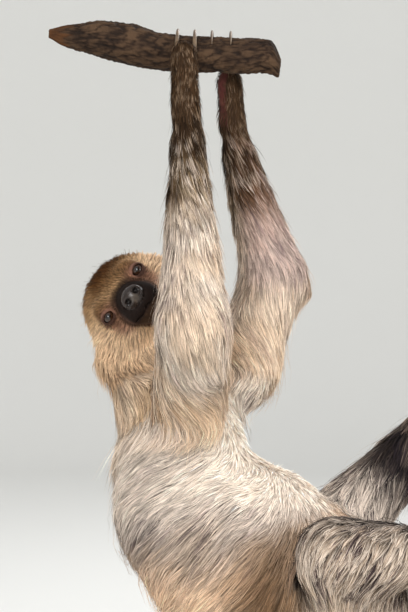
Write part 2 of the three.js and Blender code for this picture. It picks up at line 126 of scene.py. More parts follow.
# Colours as seen, sRGB: coat, bare skin, eyes, claws, branches, stand and floor.
CREAM = (0.975, 0.91, 0.845)
TAN = (0.94, 0.80, 0.65)
SAND = (0.74, 0.59, 0.42)
GOLD = (0.27, 0.15, 0.045)
OLIVE = (0.27, 0.19, 0.11)
MAUVE = (0.68, 0.55, 0.50)
ROSE_GREY = (0.86, 0.77, 0.73)
PALE_GREY = (0.60, 0.555, 0.535)
PEACH = (1.0, 0.85, 0.71)
LEG = (0.98, 0.87, 0.75)
DARK_LEG = (0.21, 0.175, 0.165)
UMBER = (0.45, 0.33, 0.22)
MUZZLE_EDGE = (0.2, 0.14, 0.1)
STREAK, STREAK_FLOOR = (0.33, 0.29, 0.30), (0.04, 0.04, 0.06)  # times the coat's colour, plus the second
FLECK = (0.62, 0.56, 0.46)  # times the coat's colour
BARE_MUZZLE = (0.10, 0.065, 0.05)
BARE_NOSE = (0.16, 0.125, 0.11)
NOSE_SHEEN = (0.36, 0.33, 0.30)
NOSTRIL_SHADE = (0.03, 0.02, 0.02)
BARE_ROSE = (0.60, 0.43, 0.36)
BARE_EYELID = (0.27, 0.185, 0.15)
EYE_RIM = (0.05, 0.035, 0.03)
BARE_PALM = (0.30, 0.155, 0.14)
PUPIL, IRIS, EYE_BACK = (0.05, 0.03, 0.025), (0.20, 0.115, 0.065), (0.09, 0.055, 0.04)
HORN = (0.30, 0.23, 0.17), (0.46, 0.38, 0.29)
BARK = (0.06, 0.04, 0.025), (0.155, 0.105, 0.07), (0.30, 0.225, 0.16)
WOOD = (0.22, 0.135, 0.07), (0.39, 0.25, 0.14)
WALNUT = (0.30, 0.21, 0.14), (0.40, 0.29, 0.20), (0.50, 0.38, 0.27)
STEEL = (0.72, 0.72, 0.73)
FLOOR = (0.89, 0.89, 0.88)


def linear(rgb):
    c = np.asarray(rgb, float)
    return np.where(c <= 0.04045, c / 12.92, ((c + 0.055) / 1.055) ** 2.4)


def mix(a, b, t):
    t = np.clip(t, 0, 1)[..., None]
    return np.asarray(a) * (1 - t) + np.asarray(b) * t


def smooth(low, high, x):
    t = np.clip((x - low) / (high - low), 0, 1)
    return t * t * (3 - 2 * t)


def unit(v):
    return v / np.maximum(np.linalg.norm(v, axis=-1, keepdims=True), 1e-9)


def waves(p, size, seed, octaves=3):
    """Smooth noise from -1 to 1, with features of about that size."""
    r = np.random.default_rng(seed)
    total = np.zeros(p.shape[:-1])
    weight = 0.0
    for octave in range(octaves):
        k = 2 * math.pi / (size * 0.55**octave)
        part = np.zeros(p.shape[:-1])
        for _ in range(5):
            way = unit(r.normal(size=3))
            part += np.sin(p @ way * k * r.uniform(0.6, 1.3) + r.uniform(0, 6.3))
        total += part * 0.6**octave / 2.2
        weight += 0.6**octave
    return np.clip(total / weight, -1, 1)


def drift(p, size, seed, octaves):
    """Smooth noise with three components."""
    return np.stack([waves(p, size, seed + k, octaves) for k in range(3)], axis=-1)


# ---- what the CAD nodes give


def read(items, attribute, width=3, kind=np.float32):
    """One row of numbers for each vertex, corner or triangle of a mesh."""
    values = np.empty(len(items) * width, kind)
    items.foreach_get(attribute, values)
    return values.reshape(-1, width)


def node_mesh(name):
    mesh = NODES[name].data
    mesh.calc_loop_triangles()
    return read(mesh.vertices, "co"), read(mesh.loop_triangles, "vertices", kind=np.int32)


def middle(name):
    low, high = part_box(name)
    return np.array((low + high) / 2)


HEAD_BOX = [np.array(v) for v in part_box("head")]


def meeting(a, b):
    """The middle of the place where two neighbouring nodes face each other."""
    pa, pb = node_mesh(a)[0], node_mesh(b)[0]
    gaps = np.linalg.norm(pa[:, None] - pb[None], axis=2).min(1)
    return pa[gaps < gaps.min() + 8 * MM].mean(0).astype(float)


def far_end(name, start):
    """The middle of a node's far end, seen from a point."""
    points = node_mesh(name)[0]
    reach = (points - start) @ unit(middle(name) - start)
    return points[reach > reach.max() - 12 * MM].mean(0).astype(float)


for name, part in PARTS.items():
    before, after = part["run"]
    ends = [meeting(name, n) if n else None for n in (before, after)]
    part["a"] = ends[0] if before else far_end(name, ends[1])
    part["b"] = ends[1] if after else far_end(name, ends[0])
THIGHS = [COLUMNS.index(n) for n in ("thigh_right", "thigh_left")]
TRUNK_AXIS = unit(PARTS["rump"]["b"] - PARTS["chest"]["a"])

# The head's own frame, in mm: x to the animal's left, -y the way the nose points, z to the crown.
EYE_PLACE = np.array([25.7, -28.0, 6.2])
NOSE_PLACE = np.array([0.0, -59.0, -4.0])
eyes = [middle("eye_right"), middle("eye_left")]
between_eyes = (eyes[0] + eyes[1]) / 2
head_x = unit(eyes[1] - eyes[0])
snout = middle("nose") - between_eyes
snout = unit(snout - head_x * (snout @ head_x))
dip = math.atan2(EYE_PLACE[2] - NOSE_PLACE[2], EYE_PLACE[1] - NOSE_PLACE[1])
head_y = -(math.cos(dip) * snout + math.sin(dip) * np.cross(head_x, -snout))
head_z = np.cross(head_x, head_y)
HEAD_AXES = np.stack([head_x, head_y, head_z])
HEAD_CENTRE = between_eyes - HEAD_AXES.T @ (np.array([0, EYE_PLACE[1], EYE_PLACE[2]]) * MM)


def to_head(p):
    return (p - HEAD_CENTRE) @ HEAD_AXES.T / MM


# ---- distance fields of the head, in mm


def ball(q, centre, radii):
    radii = np.asarray(radii, float) * np.ones(3)
    r = (q - np.asarray(centre, float)) / radii
    k = np.linalg.norm(r, axis=-1)
    return k * (k - 1) / np.maximum(np.linalg.norm(r / radii, axis=-1), 1e-6)


def cone(q, a, b, ra, rb):
    a, b = np.asarray(a, float), np.asarray(b, float)
    along = b - a
    t = np.clip((q - a) @ along / (along @ along), 0, 1)
    return np.linalg.norm(q - a - t[..., None] * along, axis=-1) - (ra + (rb - ra) * t)


def join(a, b, width):
    h = np.maximum(width - np.abs(a - b), 0) / width
    return np.minimum(a, b) - h * h * width / 4


def cut(a, tool, width):
    return -join(-a, tool, width)


def mirrored(q):
    """The head is the same on both sides: points are folded to the animal's left."""
    return np.concatenate([np.abs(q[..., :1]), q[..., 1:]], axis=-1)


EYE_OUT = unit(np.array([0.05, -0.99, 0.08]))  # the way an eye looks
EYE_SIDE = unit(np.cross(EYE_OUT, [0, 0, 1]))
EYE_UP = np.cross(EYE_SIDE, EYE_OUT)
EYE_RADIUS = 6.6


def eye_coordinates(q):
    """How far a place is to the side of the nearer eye's middle, above it and in front of it."""
    d = mirrored(q) - EYE_PLACE
    return d @ EYE_SIDE, d @ EYE_UP, d @ EYE_OUT


def nostrils(m):
    """Comma-shaped openings, wide at the front and drawn out to the sides."""
    hole = ball(m, (6.4, -64.5, -3.0), (3.5, 6.5, 3.1))
    return join(hole, cone(m, (7.5, -62.5, -4.5), (12.0, -58.5, -6.5), 1.9, 0.6), 1.5)


def nose_and_mouth(d, q, m):
    """Adds the nose pad with a crease round it, the nostrils, the groove below them and the mouth's line."""
    d = cut(d, np.abs(ball(q, (0, -56, -3), (13.2, 10, 10.2))) - 0.35, 1.5)
    d = join(d, ball(q, (0, -56.5, -3), (12, 7.5, 9)), 2.2)
    d = cut(d, nostrils(m), 1.3)
    d = cut(d, cone(q, (0, -63, -10), (0, -60.5, -18), 0.9, 0.7), 1.6)
    x = m[..., 0]
    height = -21.5 + 2.4 * np.exp(-((x / 4) ** 2)) + 0.011 * x**2
    line = np.hypot(np.maximum(np.abs(m[..., 1] + 50) - 12, 0), q[..., 2] - height) - 0.3
    return cut(d, np.maximum(line, x - 17), 1.7)


def lids(d, q):
    """Adds the lids with the opening between them, and the crease round them."""
    s, t, out = eye_coordinates(q)
    away = np.sqrt(s * s + t * t + out * out)
    d = join(d, np.maximum(away - (EYE_RADIUS + 1.1), -(out + 3)), 4.5)
    half = np.where(t > 0, 3.3, 3.9) * np.sqrt(np.clip(1 - (s / 6.2) ** 2, 0, 1))
    opening = np.maximum(np.abs(t) - half, np.abs(s) - 5.9)
    d = cut(d, np.maximum(opening, -out), 0.8)
    crease = np.abs(np.hypot(s * 0.85, t * 1.05) - 8.6) - 0.25
    return cut(d, np.maximum(crease, -out - 4), 1.2)


def head_skin(q, fine=True):
    """The head's skin, below its coat. Negative inside."""
    m = mirrored(q)
    d = ball(q, (0, 12, 0), (41, 38, 37))
    d = join(d, ball(m, (17, 2, -14), (22, 28, 25)), 14)
    d = join(d, ball(m, (15, -19, 14), (15, 13, 10)), 12)
    d = join(d, cone(q, (0, -10, -8), (0, -38, -9), 25, 18.5), 12)
    d = join(d, ball(m, (6, -45, -14), (14.5, 13, 11.5)), 8)
    d = join(d, cone(q, (0, -8, -22), (0, -38, -25), 17, 10.5), 8)
    d = cut(d, ball(m, (28.5, -42, 8), (9, 9, 8)), 9)
    if not fine:
        return d
    d = lids(nose_and_mouth(d, q, m), q)
    wrinkles = 0.12 * np.sin(q[..., 2] * 1.9 + 0.6 * np.sin(q[..., 0] * 0.9))
    return d + wrinkles * smooth(24, 14, m[..., 0]) * smooth(-38, -46, q[..., 1])


def ears(q):
    """Small round ears, flat to the head."""
    m = mirrored(q)
    return cut(ball(m, (41, 21, 8), (4.5, 9.5, 10.5)), ball(m, (47.5, 19, 8), (5.5, 6, 7)), 1.5)


# ---- which part a point belongs to


def part_weights(p, softness=8 * MM):
    """The share of each part in each point, with the head as the last column."""
    d = NEARNESS(p)
    w = np.exp(-(d - d.min(-1, keepdims=True)) / softness)
    return w / w.sum(-1, keepdims=True)


def shares(weights):
    """The columns of the part weights by name."""
    return dict(zip(COLUMNS, weights.T))


def total_share(share, names):
    return sum(share[k] for k in names)


def progress(p, name):
    """How far along a part a point is: 0 where its hair runs from, 1 where it runs to."""
    part = PARTS[name]
    along = part["b"] - part["a"]
    return np.clip((p - part["a"]) @ along / (along @ along), 0, 1)


def blended(weights, key):
    values = [part[key] for part in [*PARTS.values(), HEAD_COAT]]
    return weights @ np.array(values, float)


# ---- the distance field of the body

CORNERS = [(a, b, c) for a in (0, 1) for b in (0, 1) for c in (0, 1)]  # of a cell


def grid_points(axes):
    return np.stack(np.meshgrid(*axes, indexing="ij"), axis=-1)


class Field:
    """Values on a regular grid, read between its points."""

    def __init__(self, low, values, step=VOXEL):
        self.low = np.asarray(low, float)
        self.values = values
        self.step = step

    def __call__(self, p):
        g = np.clip((p - self.low) / self.step, 0, np.array(self.values.shape[:3]) - 1.001)
        i = g.astype(np.int64)
        f = (g - i).astype(np.float32)
        total = 0
        for corner in CORNERS:
            w = math.prod(np.abs(1 - corner[k] - f[..., k]) for k in range(3))
            if self.values.ndim == 4:
                w = w[..., None]
            total = total + w * self.values[tuple(i[..., k] + corner[k] for k in range(3))]
        return total

    def slope(self, p):
        steps = np.eye(3) * self.step * 0.8
        return unit(np.stack([self(p + s) - self(p - s) for s in steps], axis=-1))

    def points(self):
        counts = enumerate(self.values.shape)
        return grid_points([self.low[k] + self.step * np.arange(n) for k, n in counts])


def blurred(values, rounds):
    for _ in range(rounds):
        for axis, n in enumerate(values.shape):
            padded = np.concatenate([values.take([0], axis), values, values.take([-1], axis)], axis)
            neighbours = padded.take(range(n), axis) + 2 * values + padded.take(range(2, n + 2), axis)
            values = neighbours / 4
    return values


def level_set(points, triangles, band, step=VOXEL):
    return openvdb.FloatGrid.createLevelSetFromPolygons(
        points.astype(np.float32),
        triangles=triangles.astype(np.uint32),
        transform=openvdb.createLinearTransform(voxelSize=step),
        halfWidth=band,
    )


def grid_values(grid, step, margin):
    """A grid's values over the whole model, and the place of its first value."""
    low, high = (np.array(v) for v in CAD_BOX)
    start = np.floor((low - margin) / step).astype(int)
    values = np.empty(np.ceil((high + margin) / step).astype(int) - start + 1, np.float32)
    grid.copyToArray(values, ijk=tuple(int(v) for v in start))
    return start * step, values


def nearness():
    """How far each place is outside each part: one column per part, the head last."""
    columns = []
    for name in COLUMNS:
        low, values = grid_values(level_set(*node_mesh(name), PART_BAND, PART_STEP), PART_STEP, 4 * PART_STEP)
        columns.append(values)
    return Field(low, np.stack(columns, axis=-1), PART_STEP)


def body_field():
    """Distance to the outside of the coat, over the whole animal, with the gaps between nodes closed."""
    points, triangles, count = [], [], 0
    for name in COLUMNS:
        p, t = node_mesh(name)
        points.append(p)
        triangles.append(t + count)
        count += len(p)
    grid = level_set(np.concatenate(points), np.concatenate(triangles), band=4.0)
    p, t, quads = grid.convertToPolygons(isovalue=SEAM)
    t = np.concatenate([t, quads[:, [0, 1, 2]], quads[:, [0, 2, 3]]])
    low, values = grid_values(level_set(p, t, BAND), VOXEL, 6 * VOXEL)
    return Field(low, blurred(values + SEAM, 2))


NEARNESS = nearness()


# ---- surfaces from fields


def surface_net(axes, values):
    """The surface where values cross zero, on a grid whose lines are at axes: vertices and quads."""
    inside = values < 0
    total = sum(
        inside[tuple(slice(k, n - 1 + k) for k, n in zip(corner, values.shape))].astype(np.int8)
        for corner in CORNERS
    )
    cells = np.argwhere((total > 0) & (total < 8))
    place = np.zeros((len(cells), 3))
    crossings = np.zeros(len(cells))
    value = {k: values[tuple((cells + k).T)] for k in CORNERS}
    spot = {k: np.stack([axes[m][cells[:, m] + k[m]] for m in range(3)], axis=1) for k in CORNERS}
    for a in CORNERS:
        for m in range(3):
            if a[m]:
                continue
            b = tuple(1 if i == m else a[i] for i in range(3))
            va, vb = value[a], value[b]
            cross = (va < 0) != (vb < 0)
            t = np.where(cross, va / np.where(cross, va - vb, 1), 0)[:, None]
            place += np.where(cross[:, None], spot[a] + t * (spot[b] - spot[a]), 0)
            crossings += cross
    vertices = place / crossings[:, None]
    index = np.full(total.shape, -1, np.int32)
    index[tuple(cells.T)] = np.arange(len(cells))
    quads = np.concatenate([crossing_quads(inside, index, m) for m in range(3)])
    return vertices, quads[(quads >= 0).all(1)]


def crossing_quads(inside, index, m):
    """A quad round each grid line along axis m that passes through the surface, facing out."""
    u, v = (m + 1) % 3, (m + 2) % 3
    here = [slice(1, -1)] * 3
    there = list(here)
    here[m] = slice(0, -1)
    there[m] = slice(1, None)
    at = np.argwhere(inside[tuple(here)] != inside[tuple(there)])
    at[:, [u, v]] += 1
    outward = inside[tuple(at.T)]
    ring = []
    for du, dv in ((0, 0), (1, 0), (1, 1), (0, 1)):
        c = at.copy()
        c[:, u] -= du
        c[:, v] -= dv
        ring.append(index[tuple(c.T)])
    ring = np.stack(ring, axis=1)
    ring[~outward] = ring[~outward][:, ::-1]
    return ring


def resampled(field, axes):
    """A field's values on another grid, one axis at a time."""
    values = field.values
    for m in range(3):
        g = np.clip((axes[m] - field.low[m]) / field.step, 0, values.shape[m] - 1.001)
        i = g.astype(int)
        f = (g - i).astype(np.float32).reshape([-1 if k == m else 1 for k in range(3)])
        values = values.take(i, m) * (1 - f) + values.take(i + 1, m) * f
    return values


def graded_axis(low, high, fine_low, fine_high):
    """Grid lines from low to high, close together between fine_low and fine_high."""
    coarse_below = np.arange(fine_low, low, -BODY_CELL)[::-1]
    fine = np.arange(fine_low, fine_high, FACE_CELL)[1:]
    coarse_above = np.arange(fine[-1] + BODY_CELL, high, BODY_CELL)
    return np.concatenate([coarse_below, fine, coarse_above])


def in_chunks(function, p, size=400_000):
    flat = p.reshape(-1, 3)
    out = [function(flat[i : i + size]) for i in range(0, len(flat), size)]
    return np.concatenate(out).reshape(*p.shape[:-1], *out[0].shape[1:])


def near_head(p, room=30 * MM):
    low, high = HEAD_BOX
    return ((p > low - room) & (p < high + room)).all(-1)


def skin_fields(coat_field):
    """The skin of the body without the head, and of the whole animal at the voxel's detail."""
    p = coat_field.points()
    near = np.abs(coat_field.values) < BAND * VOXEL - 1 * MM
    depth = np.full(near.shape, 10 * MM, np.float32)
    depth[near] = in_chunks(lambda x: blended(part_weights(x), "coat"), p[near]) * MM
    # the face has forms of its own, so the body's skin is drawn back from it
    depth += 8 * MM * smooth(0, -16, to_head(p)[..., 1]) * near_head(p, 0)
    body = coat_field.values + blurred(depth, 2)
    whole = body.copy()
    head = near_head(p)
    whole[head] = join(whole[head], head_skin(to_head(p[head]), fine=False) * MM, NECK_BLEND)
    return Field(coat_field.low, body), Field(coat_field.low, whole)


def skin_surface(body):
    """The skin's vertices and quads, with small cells over the head."""
    low, high = HEAD_BOX
    start = body.low + VOXEL
    stop = body.low + VOXEL * (np.array(body.values.shape) - 2)
    axes = [graded_axis(start[m], stop[m], low[m] - 2 * MM, high[m] + 2 * MM) for m in range(3)]
    values = resampled(body, axes)
    box = [np.flatnonzero((axes[m] > low[m] - 25 * MM) & (axes[m] < high[m] + 25 * MM)) for m in range(3)]
    block = np.ix_(*box)
    p = grid_points([axes[m][box[m]] for m in range(3)])
    head, ear = (in_chunks(lambda x: shape(to_head(x)), p) * MM for shape in (head_skin, ears))
    values[block] = join(join(values[block], head, NECK_BLEND), ear, 3 * MM)
    return surface_net(axes, values)


# ---- markings


def muzzle_reach(q):
    """How far a place on the face is from the middle of the muzzle: 1 at the edge of its bare skin."""
    return np.sqrt((q[..., 0] / 21) ** 2 + ((q[..., 2] + 12) / 24) ** 2) + smooth(-36, -26, q[..., 1])


def bare_face(q):
    """How bare the skin of the head is, from 0 to 1: the muzzle, the nose and a rim round each eye."""
    s, t, out = eye_coordinates(q)
    rim = smooth(9.2, 7.2, np.hypot(s, t * 1.15)) * smooth(-3, 1, out)
    return np.maximum(smooth(1.1, 0.9, muzzle_reach(q)), rim)


def rosy(q):
    """The pinkish skin that shows through between the muzzle, the eyes and the cheeks."""
    s, t, out = eye_coordinates(q)
    inner = smooth(17, 8, np.hypot(s * 0.9 - 3, t * 0.8 + 6)) * smooth(-8, -2, out)
    return np.clip(smooth(1.45, 1.05, muzzle_reach(q)) * smooth(6, -6, q[..., 2]) + inner, 0, 1)


def trunk_colours(p, normal, share, patchy, fleck):
    """Cream in front, pale grey sides, a tan lower back, and umber painted shade beside the thighs and under
    the head.
    """
    facing = normal @ BELLY_WAY
    from_thigh = in_chunks(NEARNESS, p)[..., THIGHS].min(-1)
    # painted shade: umber in the hollow beside the thighs
    shade_by_thigh = smooth(58 * MM, 18 * MM, from_thigh) * smooth(0.29, 0.25, p[..., 2])
    front = smooth(0.15, 0.8, facing) * (1 - 0.75 * shade_by_thigh)
    shade_by_thigh *= 1 - front
    grey = mix(CREAM, PALE_GREY, 0.85 - 0.2 * patchy)
    side = 0.93 * mix(grey, TAN, 0.1 + 0.3 * smooth(0.1, 0.9, patchy))
    # painted shade: the sides are darker where they face back, away from the belly
    side *= (1 - 0.1 * smooth(0.1, -0.6, facing))[..., None]
    warm = mix(PEACH, SAND, 0.15 * fleck)
    low = smooth(WARM_BELOW + 0.02, WARM_BELOW - 0.03, p[..., 2] + 0.014 * patchy)
    # painted shade: umber on the neck where it meets the head
    shade_under_head = 0.6 * smooth(0.05, 0.45, share["head"])
    colours = {
        "neck": mix(mix(CREAM, SAND, 0.5 + 0.25 * patchy), UMBER, shade_under_head),
        "chest": mix(side, CREAM, 0.78 + 0.22 * front),
        "belly": mix(mix(mix(side, CREAM, 0.1), warm, 0.9 * low), UMBER, 0.9 * shade_by_thigh),
        "rump": mix(warm, UMBER, 0.7 * shade_by_thigh),
    }
    return {k: mix(c, np.array(CREAM) * 0.96, front * 0.8) for k, c in colours.items()}


def arm_colours(p, normal, side, sign, patchy, fleck):
    """Olive brown at the wrist, cream from the middle of the forearm, mauve brown inside."""
    inner = smooth(0.0, 0.7, normal[..., 1] * sign + 0.3 * normal[..., 0])
    t = progress(p, f"forearm_{side}") + 0.08 * fleck
    pale = mix(CREAM, TAN, 0.1 + 0.4 * smooth(-0.1, 0.9, patchy)) * 0.93
    mauve = mix(MAUVE, ROSE_GREY, 0.8 * smooth(0.3, 0.7, t))
    fore = mix(pale, mauve, inner * smooth(1.25, 0.9, t))
    above = t + 0.22 * waves(p, 13 * MM, 6, 2) + 0.22 * smooth(0.1, 0.9, normal[..., 0]) * smooth(0, 0.2, t)
    wrist = smooth(0.6 - 0.3 * inner, 0.05, above) * (1 - 0.15 * inner)
    shoulder = smooth(0.4, 0.9, progress(p, f"upper_arm_{side}"))
    return {
        f"upper_arm_{side}": mix(pale, TAN, np.maximum(0.3 * inner, 0.7 * shoulder)),
        f"forearm_{side}": mix(fore, OLIVE, 0.95 * wrist),
        f"hand_{side}": mix(OLIVE, MAUVE, 0.1),
    }


def leg_colours(p, normal, side, sign, fleck):
    """Dark brown inside and on the foot, paler outside and near the belly."""
    outer = smooth(-0.6, 0.4, -normal[..., 1] * sign - 0.25 * normal[..., 2])
    to_belly = smooth(-0.5, 0.3, normal @ BELLY_WAY + 0.3 * normal[..., 1] * sign)
    leg = mix(DARK_LEG, LEG, 0.1 + 0.85 * outer + 0.15 * fleck)
    leg = mix(leg, CREAM, 0.5 * smooth(0.2, 0.9, -normal[..., 0]) * outer)
    leg = mix(leg, CREAM, 0.9 * smooth(0.25, 0.85, progress(p, f"thigh_{side}")) * to_belly)
    shin = mix(leg, DARK_LEG, 0.35)
    return {f"thigh_{side}": leg, f"shin_{side}": shin, f"foot_{side}": mix(shin, OLIVE, 0.4)}


def head_colour(q, patchy, fleck):
    """Golden brown crown and brow, pale cheeks, shaded round the eyes and the muzzle."""
    x, y, z = np.moveaxis(q, -1, 0)
    crown = smooth(-6, 26, z + 0.3 * y + 5 * patchy - 0.5 * np.maximum(np.abs(x) - 12, 0))
    crown *= (1 - 0.6 * smooth(-2, 28, y)) * (1 - 0.7 * smooth(-2, 26, 6 * fleck - x))
    cheek = smooth(8, 30, np.abs(x) - 0.5 * z - 8)
    head = mix(mix(SAND, TAN, 0.2 + 0.6 * cheek), GOLD, 0.95 * crown)
    head = mix(head, CREAM, 0.1 * cheek * (1 - crown))
    s, t, out = eye_coordinates(q)
    head = mix(head, GOLD, 0.55 * smooth(20, 8, np.hypot(s, t * 0.9)) * smooth(-8, 0, out))
    head = mix(head, BARE_ROSE, 0.65 * rosy(q))
    return mix(head, MUZZLE_EDGE, 0.75 * smooth(1.3, 1.0, muzzle_reach(q)))


def paint(p, q, normal, weights):
    """The coat's colour at points of the skin, sRGB."""
    share = shares(weights)
    patchy = waves(p, 60 * MM, 3)
    fleck = waves(p, 24 * MM, 4)
    colours = trunk_colours(p, normal, share, patchy, fleck)
    for side, sign in (("right", 1), ("left", -1)):
        colours |= arm_colours(p, normal, side, sign, patchy, fleck)
        colours |= leg_colours(p, normal, side, sign, fleck)
    colours["head"] = head_colour(q, patchy, fleck)
    return np.clip(sum(colour * share[k][..., None] for k, colour in colours.items()), 0, 1)


def bare_skin(p, q):
    """The colour of the face's bare skin, sRGB, and how much a place belongs to the nose."""
    s, t, out = eye_coordinates(q)
    x, _, z = np.moveaxis(q, -1, 0)
    lid = smooth(12, 8, np.hypot(s, t)) * smooth(-4, 1, out)
    nose = smooth(1.12, 1.0, np.linalg.norm((q - (0, -57, -3)) / (12.5, 9, 9.5), axis=-1))
    skin = mix(BARE_MUZZLE, BARE_ROSE, 0.62 * smooth(0.85, 1.1, muzzle_reach(q)) * smooth(8, -6, z))
    skin = mix(skin, UMBER, 0.35 * smooth(-19, -24, z))
    eyelid = mix(BARE_EYELID, BARE_ROSE, 0.6 * smooth(7.0, 9.0, np.hypot(s + 2, t + 3)))
    skin = mix(mix(skin, eyelid, lid), BARE_NOSE, nose)
    # painted sheen: a pale patch in the middle of the nose pad stands for its wet reflection
    painted_sheen = smooth(6, 2.5, np.hypot(x, z + 6) + 1.5 * waves(p, 5 * MM, 12))
    skin = mix(skin, NOSE_SHEEN, 0.8 * nose * painted_sheen)
    skin *= 1 + 0.10 * waves(p, 5 * MM, 9)[..., None]
    # painted shade: the nostrils are near black inside
    skin = mix(skin, NOSTRIL_SHADE, smooth(0.6, -0.8, nostrils(mirrored(q))))
    away = np.sqrt(s * s + t * t + out * out)
    return mix(skin, EYE_RIM, lid * smooth(EYE_RADIUS + 0.7, EYE_RADIUS + 0.1, away)), nose


def skin_paint(p, normal):
    """The skin's colour, sRGB, and how wet it is."""
    q = to_head(p)
    weights = part_weights(p)
    share = shares(weights)
    face = near_head(p)
    front = total_share(share, TRUNK) * smooth(0.2, 0.8, normal @ BELLY_WAY)
    # painted shade: the skin under the coat is darker than the hair, less so in front
    colour = paint(p, q, normal, weights) * (0.6 + 0.3 * front)[:, None]
    colour = mix(colour, BARE_ROSE, 0.6 * rosy(q) * face * share["head"])
    skin, nose = bare_skin(p, q)
    colour = mix(colour, skin, bare_face(q) * face)
    hide = mix(BARE_PALM, UMBER, 0.35 * smooth(-0.2, 0.9, waves(p, 9 * MM, 14)))
    hide *= (1 + 0.25 * waves(p, 4 * MM, 15))[..., None]
    colour = mix(colour, hide, total_share(share, PALM_WAYS) * palm(p, normal))
    return np.clip(colour, 0, 1), nose * face


def palm(p, normal):
    """1 on the bare palms and soles, which face the branches."""
    facing = np.zeros(len(p))
    for name, way in PALM_WAYS.items():
        away = np.linalg.norm(p - (PARTS[name]["a"] + PARTS[name]["b"]) / 2, axis=-1)
        close = smooth(50 * MM, 38 * MM, away)
        facing = np.maximum(facing, smooth(0.5, 0.75, normal @ unit(np.array(way))) * close)
    return facing


# ---- meshes


def make_mesh(name, vertices, faces):
    """A smooth object from arrays, with one row for each vertex and each face."""
    mesh = bpy.data.meshes.new(name)
    mesh.vertices.add(len(vertices))
    mesh.vertices.foreach_set("co", np.ascontiguousarray(vertices, np.float32).ravel())
    mesh.loops.add(faces.size)
    mesh.loops.foreach_set("vertex_index", np.ascontiguousarray(faces, np.int32).ravel())
    mesh.polygons.add(len(faces))
    mesh.polygons.foreach_set("loop_start", np.arange(0, faces.size, faces.shape[1], dtype=np.int32))
    mesh.update(calc_edges=True)
    mesh.validate()
    mesh.polygons.foreach_set("use_smooth", np.ones(len(mesh.polygons), bool))
    obj = bpy.data.objects.new(name, mesh)
    bpy.context.scene.collection.objects.link(obj)
    return obj


def ring_quads(rings, sides):
    """The quads between rings of vertices round an axis, each ring further along than the last."""
    i, j = np.meshgrid(np.arange(rings - 1) * sides, np.arange(sides), indexing="ij")
    k = (j + 1) % sides
    return np.stack([i + j, i + k, i + sides + k, i + sides + j], axis=-1).reshape(-1, 4)


def turned(name, profile, centre, sides):
    """A surface turned about an upright axis, from a list of radii and heights."""
    turn = 2 * math.pi * np.arange(sides) / sides
    r, z = np.array(profile).T[..., None]
    x, y = centre[0] + r * np.cos(turn), centre[1] + r * np.sin(turn)
    vertices = np.stack([x, y, z + 0 * turn], axis=-1)
    return make_mesh(name, vertices.reshape(-1, 3), ring_quads(len(profile), sides))


def vertex_colour(obj, values):
    """Paints each vertex, sRGB."""
    rgba = np.ones((len(values), 4), np.float32)
    rgba[:, :3] = linear(values)
    obj.data.attributes.new("Col", "FLOAT_COLOR", "POINT").data.foreach_set("color", rgba.ravel())


def vertex_value(obj, name, values):
    attribute = obj.data.attributes.new(name, "FLOAT", "POINT")
    attribute.data.foreach_set("value", np.ascontiguousarray(values, np.float32))


def place(obj, material, slot, *replaced):
    """Gives a finished object its material and its body, and hides the nodes it stands for. The slot is not
    used.
    """
    obj.data.materials.append(material)
    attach(obj, "root")
    if replaced:
        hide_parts(*replaced)


# ---- materials


class Nodes:
    """Short calls for building a material's nodes."""

    def __init__(self, name):
        self.material = bpy.data.materials.new(name)
        self.material.use_nodes = True
        self.tree = self.material.node_tree
        self.shader = self.tree.nodes["Principled BSDF"]

    def add(self, kind, **inputs):
        node = self.tree.nodes.new(kind)
        for key, value in inputs.items():
            key = key.replace("_", " ")
            if key in node.inputs:
                self.feed(node.inputs[key], value)
            else:
                setattr(node, key.replace(" ", "_"), value)
        return node

    def feed(self, socket, value):
        if isinstance(value, bpy.types.NodeSocket):
            self.tree.links.new(value, socket)
        else:
            socket.default_value = value

    def set(self, **inputs):
        for key, value in inputs.items():
            self.feed(self.shader.inputs[key.replace("_", " ")], value)

    def painted(self):
        """The colour painted on the mesh."""
        return self.add("ShaderNodeVertexColor", layer_name="Col").outputs["Color"]

    def carried(self, name):
        """Another value that the mesh carries at its vertices."""
        return self.add("ShaderNodeAttribute", attribute_name=name).outputs["Fac"]

    def coordinates(self):
        return self.add("ShaderNodeTexCoord").outputs["Object"]

    def noise(self, scale, detail, vector=None):
        vector = vector or self.coordinates()
        return self.add("ShaderNodeTexNoise", Vector=vector, Scale=scale, Detail=detail).outputs["Fac"]

    def ramp(self, fac, positions, colours):
        node = self.add("ShaderNodeValToRGB", Fac=fac)
        node.color_ramp.elements[0].position = positions[0]
        node.color_ramp.elements[1].position = positions[-1]
        for position in positions[1:-1]:
            node.color_ramp.elements.new(position)
        for element, colour in zip(node.color_ramp.elements, colours):
            element.color = (*linear(colour), 1)
        return node.outputs["Color"]

    def bump(self, height, strength, distance):
        node = self.add("ShaderNodeBump", Height=height, Strength=strength, Distance=distance)
        self.feed(self.shader.inputs["Normal"], node.outputs["Normal"])

    def mixed(self, fac, a, b):
        node = self.add("ShaderNodeMix", data_type="RGBA")
        self.feed(node.inputs["Factor"], fac)
        for socket, colour in ((6, a), (7, b)):  # its colour sockets
            self.feed(node.inputs[socket], colour)
        return node.outputs[2]

    def scaled(self, value, factor, plus=0.0):
        node = self.add("ShaderNodeMath", operation="MULTIPLY_ADD")
        for socket, number in zip(node.inputs, (value, factor, plus)):
            self.feed(socket, number)
        return node.outputs[0]


def coat_material():
    n = Nodes("coat")
    n.set(Base_Color=n.painted(), Roughness=0.7, Specular_IOR_Level=0.1)
    return n.material


